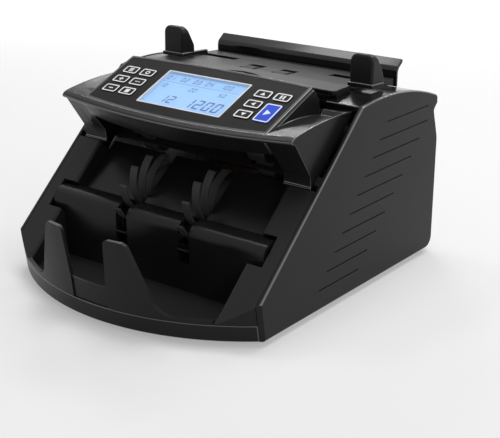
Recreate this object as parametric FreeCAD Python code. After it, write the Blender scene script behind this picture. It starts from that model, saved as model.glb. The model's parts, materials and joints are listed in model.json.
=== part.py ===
import FreeCAD, Part
import math
import os

# Desktop banknote counting machine, modelled in millimetres.
# +X is the user's right, -Y the front, +Z up. The origin is on the floor, under the middle of the machine.

# Casing
WIDTH = 240.0
WALL = 3.0
FOOT_HEIGHT = 4.5
FOOT_RADIUS = 9.0
BACK_Y = 148.0
SHOULDER_Y = 34.6
SHOULDER_Z = 145.0
SHOULDER_FACE = 7.5
SHOULDER_ROUND = 1.2
COVER_INSET = 0.4
SLANT_DEG = 42.9
CROWN_Y = 84.0
CROWN_RISE = 1.6
REAR_TOP_Y = 133.5
REAR_TOP_DROP = 8.0
GRIP_LIP_DEPTH = 2.5
GRIP_LIP_DROP = 12.0
GRIP_LIP_ROUND = 5.0
GRIP_LIP_HEIGHT = 6.5
GRIP_LIP_LOW_ROUND = 2.5
GRIP_NOTCH_DEPTH = 7.5
GRIP_NOTCH_DROP = 5.0
GRIP_NOTCH_ROUND = 3.0
BACK_BEND_DROP = 23.5
BACK_BEND_ROUND = 12.0
BACK_BOTTOM_RADIUS = 9.0
REAR_COVER_RISE = 3.0
REAR_COVER_ROUND = 2.0
COVER_LAND = 4.0
COVER_REAR_LAND = 2.0
COVER_LIP_RISE = 3.5
COVER_LIP_ROUND = 4.0
BASE_SLOT_COUNT = 3
BASE_SLOT_PITCH = 8.0
BASE_SLOT_GAP = 6.0
BASE_SLOT_WIDTH = 3.0
SEAM = 0.15
EDGE_ROUND = 1.2
OVER = 1.0

# Bowed front
CORNER_Y = -80.5
FRONT_BOW = 45.5
FRONT_LEAN = 0.12
APRON_TOP_Z = 17.0

# Stop plate with two fingers
STOP_THICKNESS = 3.0
STOP_WEB_STEP = 1.2
FINGER_TOP_Z = 71.5
FINGER_TOP_OUTER = 38.2
NOTCH_HALF_TOP = 20.5
NOTCH_HALF_LOW = 17.2
NOTCH_FLOOR_Z = 33.0
FINGER_FOOT_X = 56.8
STOP_RAIL_Z = 20.3
FINGER_ROUND = 6.0
FINGER_FOOT_ROUND = 14.0
NOTCH_TOP_ROUND = 4.0
NOTCH_FLOOR_ROUND = 2.0

# Mouth, arms and stacker
MOUTH_HALF = 92.0
ARM_WALL = 3.0
ARM_ROUND = 2.5
ARM_SEAM = 0.5
ARM_RETURN = 34.0
ARM_TOP_S = 73.1
LEDGE_NOTCH_S = 113.0
LEDGE_NOTCH_LENGTH = 25.0
LEDGE_NOTCH_DEPTH = 14.0
LEDGE_END_GAP = 2.0
LEDGE_SIDE_GAP = 1.0
LEDGE_SKIRT = 8.0
LEDGE_REAR_ROUND = 3.0
STACKER_FIT = 0.4
LEDGE_FRONT_Y = -62.0
LEDGE_TOP_Z = 64.5
LEDGE_DEPTH = 20.0
LEDGE_ROUND = 9.0
SLOPE_TOP_Y = -3.5
SLOPE_TOP_DROP = 53.5
SLOPE_LAP = 4.0
SLOPE_WALL = 2.5
TRAY_FLOOR_Z = 9.0
TRAY_FLOOR_THICKNESS = 3.0
TRAY_FIT = 0.3
TRAY_RIB_X = 60.0
TRAY_RIB_WIDTH = 2.0
TRAY_RIB_SETBACK = 10.0

# Side panel grooves
GROOVE_COUNT = 10
GROOVE_PITCH = 11.93
GROOVE_FIRST_Z = 20.0
GROOVE_FIRST_FRONT_Y = -17.0
GROOVE_FIRST_BACK_Y = 35.0
GROOVE_FRONT_SLOPE = 0.8
GROOVE_BACK_SLOPE = 1.0
GROOVE_BACK_LIMIT_Y = 130.0
GROOVE_WIDTH = 1.0
GROOVE_DEPTH = 0.7

# Hood
HOOD_SIDE_GAP = 8.6
HOOD_WALL = 3.0
HOOD_TIP_Y = -40.3
HOOD_TIP_DROP = 9.6
HOOD_REAR_GAP = 0.8
CROWN_MID_Y = -6.0
DISH_Y = 27.0
DISH_WALL_Y = 30.5
RIDGE_MID_DROP = 3.8
RIDGE_DISH_DROP = 3.4
RIDGE_REAR_DROP = 4.0
VALLEY_X = 100.0
VALLEY_MID_DROP = 5.1
VALLEY_DISH_DROP = 8.6
VALLEY_REAR_DROP = 5.0
ROOT_MID_DROP = 5.6
ROOT_DISH_DROP = 9.1
ROOT_REAR_DROP = 5.6
HOOD_CHANNEL = 4.0
CHEEK_KNEE_Y = -17.7
CHEEK_KNEE_DROP = 40.5
CHEEK_FOOT_S = 72.2
CHEEK_TOE_T = -2.1
CHEEK_LIP = 1.9
CHEEK_TOP_S = 8.0
HOLLOW_TOP_S = 3.0
HOLLOW_END = 9.0
HOLLOW_OUT = 8.0
RIM_BOW = 7.5
RIM_DROP = 3.5
RIM_HEIGHT = 3.2
RIM_DEPTH = 4.5
RIM_UNDERCUT = 1.2
LIP_TUCK = 1.6
LIP_LAP = 0.4
LIP_ROUND = 1.0
LIP_END_Y = -33.0
LIP_END_DROP = 25.0
LIP_BOW = 9.0
LIP_DROP = 3.0
HOOD_PIVOT_S = 64.5
HOOD_PIVOT_T = -3.2
HINGE_PIN_RADIUS = 2.0
HINGE_BOSS_RADIUS = 4.2
HINGE_BOSS = 8.0
HINGE_BORE = 7.0
HINGE_END_GAP = 0.3
RUNNING_FIT = 0.05

# Console
CONSOLE_HALF = 88.0
CONSOLE_TILT_DEG = 22.5
CONSOLE_Y = -11.74
CONSOLE_RISE = 1.81
CONSOLE_SIDE_LAP = 0.5
CONSOLE_REAR_FALL = 8.0
CONSOLE_FOOT_LEAN = 2.0
CONSOLE_FOOT_DROP = 5.0
CONSOLE_FRONT_DROP = 6.0
CONSOLE_FRONT_SETBACK = 1.0
PANEL_FRONT_V = -28.5
PANEL_FRONT_BOW = 5.8
PANEL_REAR_V = 31.0
PANEL_REAR_BOW = 2.5
PANEL_THICKNESS = 2.5
PANEL_CORNER = 1.5
PANEL_FIT = 0.1
LCD_HALF_WIDTH = 39.4
LCD_HALF_HEIGHT = 20.4
LCD_BORDER = 1.1
LCD_FIT = 0.15
LCD_MODULE_DEPTH = 6.0
KEY_WIDTH = 14.3
KEY_HEIGHT = 9.3
KEY_CORNER = 2.2
KEY_INNER_X = 56.5
KEY_OUTER_X = 73.8
KEY_ROW_PITCH = 12.85
KEY_TALL_HEIGHT = 21.6
KEY_TALL_V = -6.7
KEY_PROUD = 0.5
KEY_GAP = 0.35
KEY_TRAVEL = 0.6
KEY_STEM_RADIUS = 1.5
KEY_BOARD_GAP = 3.2
BOARD_THICKNESS = 1.6

# Hopper and note guides
HOPPER_HALF = 91.3
HOPPER_RISE = 6.5
HOPPER_PLATE = 3.0
HOPPER_CORNER = 3.0
HOPPER_ROUND = 1.0
HOPPER_SKIRT = 3.0
HOPPER_SKIRT_SETBACK = 3.0
CHUTE_FIT = 0.5
CHUTE_WALL = 2.0
HOPPER_FRONT_Y = 40.0
FEED_SLOT_Y = 62.0
FEED_SLOT_WIDTH = 6.0
HOPPER_REAR_Y = 126.0
HOPPER_FLOOR_FRONT_RISE = 3.8
HOPPER_FLOOR_REAR_RISE = 0.6
HOPPER_FLOOR = 2.5
HOPPER_FLOOR_HALF = 90.0
HOPPER_FLOOR_SKIRT = 2.0
HOPPER_FLOOR_ROUND = 1.0
SCOOP_HALF = 24.0
SCOOP_DEPTH = 12.0
SUPPORT_Y = 128.0
SUPPORT_RISE = 8.0
SUPPORT_DEPTH = 6.0
SUPPORT_WALL = 2.6
SUPPORT_ROUND = 6.0
SUPPORT_BACK_DROP = 1.6
SUPPORT_LIP_RISE = 2.4
SUPPORT_LIP_DEPTH = 1.2
SUPPORT_FLARE_Y = 8.5
SUPPORT_FLARE_Z = 4.0
GUIDE_INNER_X = 83.3
GUIDE_WIDTH = 20.5
GUIDE_WALL = 2.2
GUIDE_FRONT_Y = 71.5
GUIDE_DEPTH = 16.0
GUIDE_RISE = 29.0
GUIDE_TOP_DEPTH = 6.0
GUIDE_CORNER = 6.0
GUIDE_FRONT_ROUND = 2.0
GUIDE_TOP_ROUND = 3.0
GUIDE_REAR_ROUND = 4.0
GUIDE_CEILING = 3.3
GUIDE_FLANGE = 0.8
GUIDE_FLANGE_HEIGHT = 3.0
GUIDE_LEAN = 0.5
GUIDE_REAR_RISE = 9.0
GUIDE_FOOT = 3.0
GUIDE_LIFT = 0.4
GUIDE_TRAVEL = 34.0
GUIDE_STEM_WIDTH = 8.0
GUIDE_STEM = 3.0
GUIDE_STEM_Y = 101.0
GUIDE_RAIL_RADIUS = 3.0
GUIDE_RAIL_DROP = 13.0
GUIDE_CARRIAGE = 16.0
GUIDE_CARRIAGE_DEPTH = 14.0
GUIDE_CARRIAGE_HEIGHT = 12.0
GUIDE_STEM_LAP = 2.0
STEM_CLEARANCE = 1.5
STEM_SIDE_CLEARANCE = 0.5

# Drive train
CHASSIS_X = 98.0
CHASSIS_THICKNESS = 1.6
CHASSIS_FRONT_T = -22.0
CHASSIS_EDGE_S = 8.0
CHASSIS_EDGE_T = -14.0
CHASSIS_SHOULDER_SETBACK = 14.0
CHASSIS_REAR_SETBACK = 26.0
CHASSIS_REAR_DROP = 24.0
CHASSIS_CORNER = 6.0
CHASSIS_TOP_CORNER = 4.0
SHAFT_RADIUS = 4.0
SHAFT_OVERHANG = 5.0
SHAFT_CLEARANCE = 1.5
BEARING_RADIUS = 7.5
BEARING_WIDTH = 5.0
BEARING_FIT = 0.05
BEARING_INSET = 1.7
ROLLER_ROUND = 0.8
ROLLER_CLEARANCE = 1.5
ROLLER_END_CLEARANCE = 0.5
FEED_ROLLER_RADIUS = 18.0
FEED_ROLLER_WIDTH = 22.0
FEED_ROLLER_X = 34.0
FEED_S = 15.0
PATH_T = -10.0
ROLLER_PROUD = 0.8
TRANSPORT_ROLLER_RADIUS = 10.0
TRANSPORT_ROLLER_WIDTH = 16.0
TRANSPORT_ROLLER_X = 58.0
TRANSPORT_S = 50.0
PICKUP_ROLLER_RADIUS = 18.0
PICKUP_ROLLER_WIDTH = 12.0
PICKUP_ROLLER_X = 16.0
PICKUP_Y = 78.0
PICKUP_WINDOW = 13.5
IDLER_RADIUS = 9.0
IDLER_GAP = 0.4
WHEEL_RADIUS = 40.0
WHEEL_HUB_RADIUS = 11.0
WHEEL_WIDTH = 7.0
WHEEL_SLOT_GAP = 2.0
WHEEL_X = 31.0
WHEEL_Y = -26.0
WHEEL_Z = 56.0
WHEEL_FINGERS = 14
FINGER_THICKNESS = 1.5
FINGER_SWEEP_DEG = 62.0
FINGER_BEND = 0.62
FINGER_ROOT = 1.0
MOTOR_RADIUS = 21.0
MOTOR_LENGTH = 58.0
MOTOR_ROUND = 1.5
MOTOR_BOSS_RADIUS = 6.0
MOTOR_BOSS = 4.0
MOTOR_TAIL = 5.0
MOTOR_Y = 104.0
MOTOR_Z = 44.0
STACKER_MOTOR_RADIUS = 15.0
STACKER_MOTOR_LENGTH = 42.0
STACKER_MOTOR_Y = 28.0
STACKER_MOTOR_Z = 34.0
MOTOR_PULLEY_RADIUS = 8.0
FEED_PULLEY_RADIUS = 14.0
STACKER_PULLEY_RADIUS = 12.0
PULLEY_PITCH = 7.0
PULLEY_WIDTH = 6.0
BELT_THICKNESS = 1.4
BELT_GAP = 0.35
BELT_WIDTH = 5.0
PULLEY_INNER_X = 102.0
PULLEY_OUTER_X = 109.0
SIDE_PULLEY_RADIUS = 7.0
MOTOR_SHAFT_RADIUS = 2.5
PINCH_SHAFT_RADIUS = 2.0
PINCH_SHAFT_SEAT = 2.0
LOWER_PLATE_S0 = 8.0
LOWER_PLATE_S1 = 58.0
GUIDE_SHEET = 1.5
UPPER_PLATE_DROP = 3.0
UPPER_SENSOR_S = 22.0
UPPER_SENSOR_LENGTH = 14.0
LOWER_SENSOR_S = 35.5
LOWER_SENSOR_LENGTH = 7.5
RETARD_RADIUS = 6.0
RETARD_Y = 48.0
RETARD_SHAFT_RADIUS = 2.5
RETARD_GAP = 0.4
EAR_GAP = 2.0
EAR_WALL = 2.0
EAR_HALF = 5.0
TIE_BAR_RADIUS = 4.0
TIE_REAR_Y = 122.0
TIE_REAR_Z = 110.0
TIE_MIDDLE_Y = 66.0
TIE_MIDDLE_Z = 78.0
TIE_FRONT_Y = 10.0
TIE_FRONT_Z = 16.0
CHASSIS_FRONT_Y = -38.0
CHASSIS_BACK_Y = 136.0
CHASSIS_TOP_DROP = 7.0
CHUTE_DEPTH = 6.0

# Back of the casing
VENT_COUNT = 6
VENT_Z = 62.0
VENT_PITCH = 6.0
VENT_HEIGHT = 2.6
VENT_HALF = 60.0
VENT_ROUND = 1.0
REAR_ROW_Z = 32.0
INLET_X = -78.0
INLET_HALF_X = 13.6
INLET_HALF_Z = 9.9
INLET_DEPTH = 22.0
INLET_RIM = 2.0
INLET_BACK = 5.0
INLET_MOUTH_HALF_X = 12.0
INLET_MOUTH_HALF_Z = 8.0
INLET_CHAMFER = 4.5
BLADE_PITCH = 7.0
BLADE_WIDTH = 2.0
BLADE_HEIGHT = 4.0
BLADE_STAGGER = 2.0
BLADE_SHORT = 3.0
FITTING_GAP = 0.1
SWITCH_X = -42.0
SWITCH_HALF_X = 9.5
SWITCH_HALF_Z = 6.5
SWITCH_SWING_DEG = 12.0
SWITCH_WALL = 1.5
SWITCH_RIM = 1.5
SWITCH_DEPTH = 18.0
SWITCH_WELL = 12.0
ROCKER_GAP = 0.4
ROCKER_PIN_RADIUS = 1.5
ROCKER_PIN_DROP = 5.0
ROCKER_TAPER = 1.5
ROCKER_HIGH_DROP = 1.4
ROCKER_MIDDLE_DROP = 0.4
ROCKER_LOW_DROP = 0.2
FUSE_X = -16.0
FUSE_RADIUS = 6.0
FUSE_RIM = 1.5
FUSE_DEPTH = 24.0
FUSE_SLOT_LENGTH = 8.0
FUSE_SLOT_WIDTH = 1.2
FUSE_SLOT_DEPTH = 1.0
SOCKET_X = 74.0
SOCKET_HALF_X = 6.0
SOCKET_HALF_Z = 6.5
SOCKET_DEPTH = 14.0
SOCKET_BACK = 3.0
SOCKET_PROUD = 0.5
SOCKET_WALL = 1.2
SOCKET_FLOOR = 1.5
SOCKET_TOP = 2.5

# Boards, supply and feet
MAIN_BOARD_Y0 = 40.0
MAIN_BOARD_Y1 = 128.0
MAIN_BOARD_HALF = 38.0
MAIN_BOARD_X = 44.0
STANDOFF = 6.0
STANDOFF_RADIUS = 3.0
TRANSFORMER_X = -52.0
TRANSFORMER_Y = 100.0
CORE_LENGTH = 48.0
CORE_DEPTH = 20.0
CORE_HEIGHT = 42.0
WINDING_LENGTH = 30.0
WINDING_DEPTH = 38.0
WINDING_ROUND = 5.0
WINDING_GAP = 8.0
CAPACITOR_RADIUS = 3.5
CAPACITOR_HEIGHT = 6.0
CAPACITOR_COUNT = 3
CAPACITOR_PITCH = 14.0
CAPACITOR_INSET_X = 22.0
CAPACITOR_INSET_Y = 44.0
CHIP_SIZE = 16.0
CHIP_HEIGHT = 2.0
CHIP_INSET_X = 8.0
CHIP_INSET_Y = 12.0
DRIVER_LENGTH = 12.0
DRIVER_DEPTH = 8.0
DRIVER_INSET_X = 36.0
DRIVER_INSET_Y = 14.0
PLUG_LENGTH = 30.0
PLUG_DEPTH = 6.0
PLUG_INSET_X = 4.0
PLUG_INSET_Y = 40.0
STANDOFF_INSET = 4.0
FOOT_INSET_X = 24.0
FOOT_FRONT_Y = -62.0
FOOT_REAR_Y = 122.0
FOOT_TAPER = 0.8
SCREW_HEAD_RADIUS = 3.0
SCREW_HEAD = 2.0
SCREW_INSET = 8.0
SCREW_LOW_Z = 14.0
SCREW_TOP_DROP = 12.0
SCREW_SLOT = 4.0
SCREW_SLOT_WIDTH = 0.8
SCREW_SLOT_DEPTH = 0.8

# Small console and hood sizes
BEZEL_WIDTH = 2.2
BEZEL_PROUD = 0.2
SWITCH_RISE = 1.2
CONSOLE_FOOT_Y = 25.0
GUIDE_PLATE_S0 = 10.0
GUIDE_PLATE_S1 = 62.0
FLANGE = 1.5
BEZEL_ROUND = 0.3
BEZEL_FIT = 0.1
WINDOW_ROUND = 1.0
FRAME_FIT = 0.1
FRAME_PROUD = 0.1
FRAME_ROUND = 0.6
PANE_ROUND = 0.5
PANE_DROP = 0.4
MODULE_RIM = 3.0
KEY_ROUND = 0.3
KEY_SWITCH_GAP = 0.1
POST_RADIUS = 2.0
SWITCH_SIZE = 6.0
SWITCH_CORNER = 0.5
BOARD_MARGIN = 3.0
BOARD_INSET = 1.0
BOARD_CORNER = 1.0

# Heights that follow the shoulder
CROWN_Z = SHOULDER_Z + CROWN_RISE
REAR_TOP_Z = SHOULDER_Z - REAR_TOP_DROP
GRIP_LIP_Z = SHOULDER_Z - GRIP_LIP_DROP
GRIP_LIP_LOW_Z = GRIP_LIP_Z - GRIP_LIP_HEIGHT
GRIP_NOTCH_Z = GRIP_LIP_LOW_Z - GRIP_NOTCH_DROP
BACK_STRAIGHT_TOP = GRIP_NOTCH_Z - BACK_BEND_DROP
SLOPE_TOP_Z = SHOULDER_Z - SLOPE_TOP_DROP
HOOD_TIP_Z = SHOULDER_Z - HOOD_TIP_DROP
RIDGE_MID_Z = SHOULDER_Z - RIDGE_MID_DROP
RIDGE_DISH_Z = SHOULDER_Z - RIDGE_DISH_DROP
RIDGE_REAR_Z = SHOULDER_Z - RIDGE_REAR_DROP
VALLEY_MID_Z = SHOULDER_Z - VALLEY_MID_DROP
VALLEY_DISH_Z = SHOULDER_Z - VALLEY_DISH_DROP
VALLEY_REAR_Z = SHOULDER_Z - VALLEY_REAR_DROP
ROOT_MID_Z = SHOULDER_Z - ROOT_MID_DROP
ROOT_DISH_Z = SHOULDER_Z - ROOT_DISH_DROP
ROOT_REAR_Z = SHOULDER_Z - ROOT_REAR_DROP
CHEEK_KNEE_Z = SHOULDER_Z - CHEEK_KNEE_DROP
LIP_END_Z = SHOULDER_Z - LIP_END_DROP
CONSOLE_Z = SHOULDER_Z + CONSOLE_RISE
HOPPER_Z = SHOULDER_Z + HOPPER_RISE
HOPPER_FLOOR_FRONT_Z = SHOULDER_Z + HOPPER_FLOOR_FRONT_RISE
HOPPER_FLOOR_REAR_Z = SHOULDER_Z + HOPPER_FLOOR_REAR_RISE
SUPPORT_TOP_Z = SHOULDER_Z + SUPPORT_RISE
GUIDE_TOP_Z = SHOULDER_Z + GUIDE_RISE
CHASSIS_TOP_Z = SHOULDER_Z - CHASSIS_TOP_DROP

HALF = WIDTH / 2
COVER_OPENING = HOPPER_HALF - COVER_LAND
INNER = HALF - WALL
FRONT_RADIUS = (HALF ** 2 + FRONT_BOW ** 2) / (2 * FRONT_BOW)
FRONT_CENTRE_Y = CORNER_Y - FRONT_BOW + FRONT_RADIUS
SLANT = math.radians(SLANT_DEG)
X_AXIS = FreeCAD.Vector(1, 0, 0)
Y_AXIS = FreeCAD.Vector(0, 1, 0)
Z_AXIS = FreeCAD.Vector(0, 0, 1)
ORIGIN = FreeCAD.Vector(0, 0, 0)


def vec(x, y, z):
    return FreeCAD.Vector(x, y, z)


def slant(s, t):
    """Side-view point at s down the slanted front and t out of it."""
    y = SHOULDER_Y - s * math.cos(SLANT) - t * math.sin(SLANT)
    z = SHOULDER_Z - s * math.sin(SLANT) + t * math.cos(SLANT)
    return (y, z)


def yz(x):
    """Lift (y, z) points to the plane at x."""
    return lambda p: vec(x, p[0], p[1])


def xz(y):
    """Lift (x, z) points to the plane at y."""
    return lambda p: vec(p[0], y, p[1])


def xy(z):
    """Lift (x, y) points to the plane at z."""
    return lambda p: vec(p[0], p[1], z)


def corner_arc(before, point, after, radius):
    """Tangent points and middle of the arc that rounds one corner."""
    a = (before[0] - point[0], before[1] - point[1])
    b = (after[0] - point[0], after[1] - point[1])
    la = math.hypot(*a)
    lb = math.hypot(*b)
    a = (a[0] / la, a[1] / la)
    b = (b[0] / lb, b[1] / lb)
    half = math.acos(max(-1, min(1, a[0] * b[0] + a[1] * b[1]))) / 2
    reach = min(radius / math.tan(half), 0.49 * la, 0.49 * lb)
    radius = reach * math.tan(half)
    bis = (a[0] + b[0], a[1] + b[1])
    lbis = math.hypot(*bis)
    depth = radius / math.sin(half) - radius
    start = (point[0] + a[0] * reach, point[1] + a[1] * reach)
    middle = (point[0] + bis[0] / lbis * depth, point[1] + bis[1] / lbis * depth)
    end = (point[0] + b[0] * reach, point[1] + b[1] * reach)
    return start, middle, end


def outline(points, lift):
    """Closed wire through points (u, v) or (u, v, corner radius), lifted to a plane."""
    edges = []
    ends = []
    for i, p in enumerate(points):
        if len(p) == 3:
            start, middle, end = corner_arc(points[i - 1], p, points[(i + 1) % len(points)], p[2])
            edges.append((i, Part.Arc(lift(start), lift(middle), lift(end)).toShape()))
            ends.append((start, end))
        else:
            ends.append((p, p))
    for i in range(len(points)):
        a = lift(ends[i][1])
        b = lift(ends[(i + 1) % len(points)][0])
        if a.distanceToPoint(b) > 1e-6:
            edges.append((i + 0.5, Part.makeLine(a, b)))
    edges.sort(key=lambda e: e[0])
    return Part.Wire([e[1] for e in edges])


def prism(wire, direction):
    return Part.Face(wire).extrude(direction)


def bar_x(points, x0, x1):
    """Solid with a (y, z) outline between two x planes."""
    return prism(outline(points, yz(x0)), vec(x1 - x0, 0, 0))


def bar_y(points, y0, y1):
    """Solid with an (x, z) outline between two y planes."""
    return prism(outline(points, xz(y0)), vec(0, y1 - y0, 0))


def bar_z(points, z0, z1):
    """Solid with an (x, y) outline between two z planes."""
    return prism(outline(points, xy(z0)), vec(0, 0, z1 - z0))


def box(x0, x1, y0, y1, z0, z1):
    return Part.makeBox(x1 - x0, y1 - y0, z1 - z0, vec(x0, y0, z0))


def rod_x(y, z, radius, x0, x1):
    return Part.makeCylinder(radius, x1 - x0, vec(x0, y, z), X_AXIS)


def tube_x(y, z, outer, inner, x0, x1):
    return rod_x(y, z, outer, x0, x1).cut(rod_x(y, z, inner, x0 - OVER, x1 + OVER))


def slant_bar(s0, s1, t0, t1, x0, x1):
    """Box between two lines along and two lines out of the slanted front."""
    return bar_x([slant(s0, t0), slant(s1, t0), slant(s1, t1), slant(s0, t1)], x0, x1)


def mirrored(shape):
    return shape.mirror(ORIGIN, X_AXIS)


def rounded(shape, radius, pick):
    """Round the edges that the test picks."""
    return shape.makeFillet(radius, [e for e in shape.Edges if pick(e)])


def front_cone(offset, z0, z1):
    """The space inside the bowed, leaning front, moved out by offset."""
    r0 = FRONT_RADIUS + FRONT_LEAN * (z0 - FOOT_HEIGHT) + offset
    r1 = FRONT_RADIUS + FRONT_LEAN * (z1 - FOOT_HEIGHT) + offset
    return Part.makeCone(r0, r1, z1 - z0, vec(0, FRONT_CENTRE_Y, z0), Z_AXIS)


def fuse(shapes):
    return shapes[0].fuse(shapes[1:]).removeSplitter()


pieces = {}


def keep(name, *shapes):
    """Keep one node, made of one or more separate solids."""
    solids = [s for shape in shapes for s in shape.Solids]
    pieces[name] = solids[0] if len(solids) == 1 else Part.makeCompound(solids)


def write_pieces():
    """Move the origin under the middle of the whole machine and write every node."""
    whole = Part.makeCompound(list(pieces.values())).optimalBoundingBox(False, False)
    shift = vec(0, -(whole.YMin + whole.YMax) / 2, 0)
    print("origin moved by", shift.y)
    os.makedirs("parts", exist_ok=True)
    for name, shape in pieces.items():
        shape.translate(shift)
        shape.exportStep("parts/" + name + ".step")

# Heights and lines shared by several casing pieces
BASE_TOP = FOOT_HEIGHT + WALL
FRONT_FAR_Y = CORNER_Y - 2 * FRONT_BOW
TOP_FAR_Z = CROWN_Z + OVER


def top_arc(inset):
    """Start, middle and end of the casing's crowned top line, moved down by inset."""
    return ((SHOULDER_Y, SHOULDER_Z - inset), (CROWN_Y, CROWN_Z - inset), (REAR_TOP_Y, REAR_TOP_Z - inset))


def arc_edge(points, lift):
    a, b, c = points
    return Part.Arc(lift(a), lift(b), lift(c)).toShape()


def side_wire(x):
    """Outline of a side panel, its foot still running out past the bowed front."""
    lift = yz(x)
    crown = top_arc(0)
    low_front = slant((SHOULDER_Z - FOOT_HEIGHT) / math.sin(SLANT), 0)
    lip_y = BACK_Y - GRIP_LIP_DEPTH
    back = [crown[2], (lip_y, GRIP_LIP_Z, GRIP_LIP_ROUND), (lip_y, GRIP_LIP_LOW_Z, GRIP_LIP_LOW_ROUND),
            (BACK_Y - GRIP_NOTCH_DEPTH, GRIP_NOTCH_Z, GRIP_NOTCH_ROUND),
            (BACK_Y, BACK_STRAIGHT_TOP, BACK_BEND_ROUND),
            (BACK_Y, FOOT_HEIGHT, BACK_BOTTOM_RADIUS), low_front, crown[0]]
    closed = outline(back, lift)
    edges = [e for e in closed.Edges if not joins(e, lift(crown[0]), lift(crown[2]))]
    return Part.Wire(Part.__sortEdges__(edges + [arc_edge(crown, lift)]))


def joins(edge, a, b):
    """Whether an edge runs between two points."""
    ends = [v.Point for v in edge.Vertexes]
    there = ends[0].distanceToPoint(a) + ends[-1].distanceToPoint(b)
    back = ends[0].distanceToPoint(b) + ends[-1].distanceToPoint(a)
    return min(there, back) < 1e-4


def side_panel():
    panel = prism(side_wire(INNER), vec(WALL, 0, 0))
    panel = panel.common(front_cone(0, FOOT_HEIGHT, TOP_FAR_Z))
    panel = rounded(panel, EDGE_ROUND, lambda e: min(v.X for v in e.Vertexes) > HALF - 0.01)
    for i in range(GROOVE_COUNT):
        z = GROOVE_FIRST_Z + i * GROOVE_PITCH
        rise = i * GROOVE_PITCH
        front = GROOVE_FIRST_FRONT_Y + GROOVE_FRONT_SLOPE * rise
        back = min(GROOVE_FIRST_BACK_Y + GROOVE_BACK_SLOPE * rise, GROOVE_BACK_LIMIT_Y)
        low = z - GROOVE_WIDTH / 2
        panel = panel.cut(box(HALF - GROOVE_DEPTH, HALF + OVER, front, back, low, low + GROOVE_WIDTH))
    pivot = slant(HOOD_PIVOT_S, HOOD_PIVOT_T)
    boss = rod_x(*pivot, HINGE_BOSS_RADIUS, HALF - HOOD_SIDE_GAP + HOOD_REAR_GAP, INNER)
    panel = panel.fuse(boss.common(prism(side_wire(0), vec(HALF, 0, 0))))
    return panel.cut(rod_x(*pivot, HINGE_PIN_RADIUS + RUNNING_FIT, 0, INNER))


def base_pan():
    plate = box(-INNER + SEAM, INNER - SEAM, FRONT_FAR_Y, BACK_Y - WALL - SEAM, FOOT_HEIGHT, BASE_TOP)
    plate = plate.common(front_cone(-WALL - SEAM, FOOT_HEIGHT, BASE_TOP))
    for i in range(BASE_SLOT_COUNT):
        y = MAIN_BOARD_Y0 - BASE_SLOT_GAP - i * BASE_SLOT_PITCH
        y0 = y - BASE_SLOT_WIDTH / 2
        slot = box(-INNER / 2, INNER / 2, y0, y0 + BASE_SLOT_WIDTH, FOOT_HEIGHT - OVER, BASE_TOP + OVER)
        plate = plate.cut(slot)
    return plate


def front_apron():
    room = front_cone(-WALL, FOOT_HEIGHT - OVER, APRON_TOP_Z + OVER)
    shell = front_cone(0, FOOT_HEIGHT, APRON_TOP_Z).cut(room)
    back_y = FRONT_CENTRE_Y - FRONT_RADIUS / 2
    return shell.common(box(-INNER + SEAM, INNER - SEAM, FRONT_FAR_Y, back_y, 0, APRON_TOP_Z))


def stop_plate():
    low = APRON_TOP_Z + SEAM
    end = MOUTH_HALF - 2 * SEAM
    right = [(NOTCH_HALF_LOW, NOTCH_FLOOR_Z, NOTCH_FLOOR_ROUND),
             (NOTCH_HALF_TOP, FINGER_TOP_Z, NOTCH_TOP_ROUND),
             (FINGER_TOP_OUTER, FINGER_TOP_Z, FINGER_ROUND), (FINGER_FOOT_X, STOP_RAIL_Z, FINGER_FOOT_ROUND),
             (end, STOP_RAIL_Z), (end, low)]
    left = [(-p[0], *p[1:]) for p in reversed(right)]
    shell = front_cone(0, low, FINGER_TOP_Z + OVER)
    shell = shell.cut(front_cone(-STOP_THICKNESS, low - OVER, FINGER_TOP_Z + 2 * OVER))
    plate = shell.common(bar_y(right + left, FRONT_FAR_Y, FRONT_CENTRE_Y - FRONT_RADIUS / 2))
    step_low = low - OVER
    step_top = NOTCH_FLOOR_Z + OVER
    rest = front_cone(-STOP_WEB_STEP, step_low - OVER, step_top + OVER)
    step = front_cone(OVER, step_low, step_top).cut(rest)
    step = step.common(box(-NOTCH_HALF_LOW, NOTCH_HALF_LOW, FRONT_FAR_Y, CORNER_Y, step_low, step_top))
    return plate.cut(step)


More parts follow.
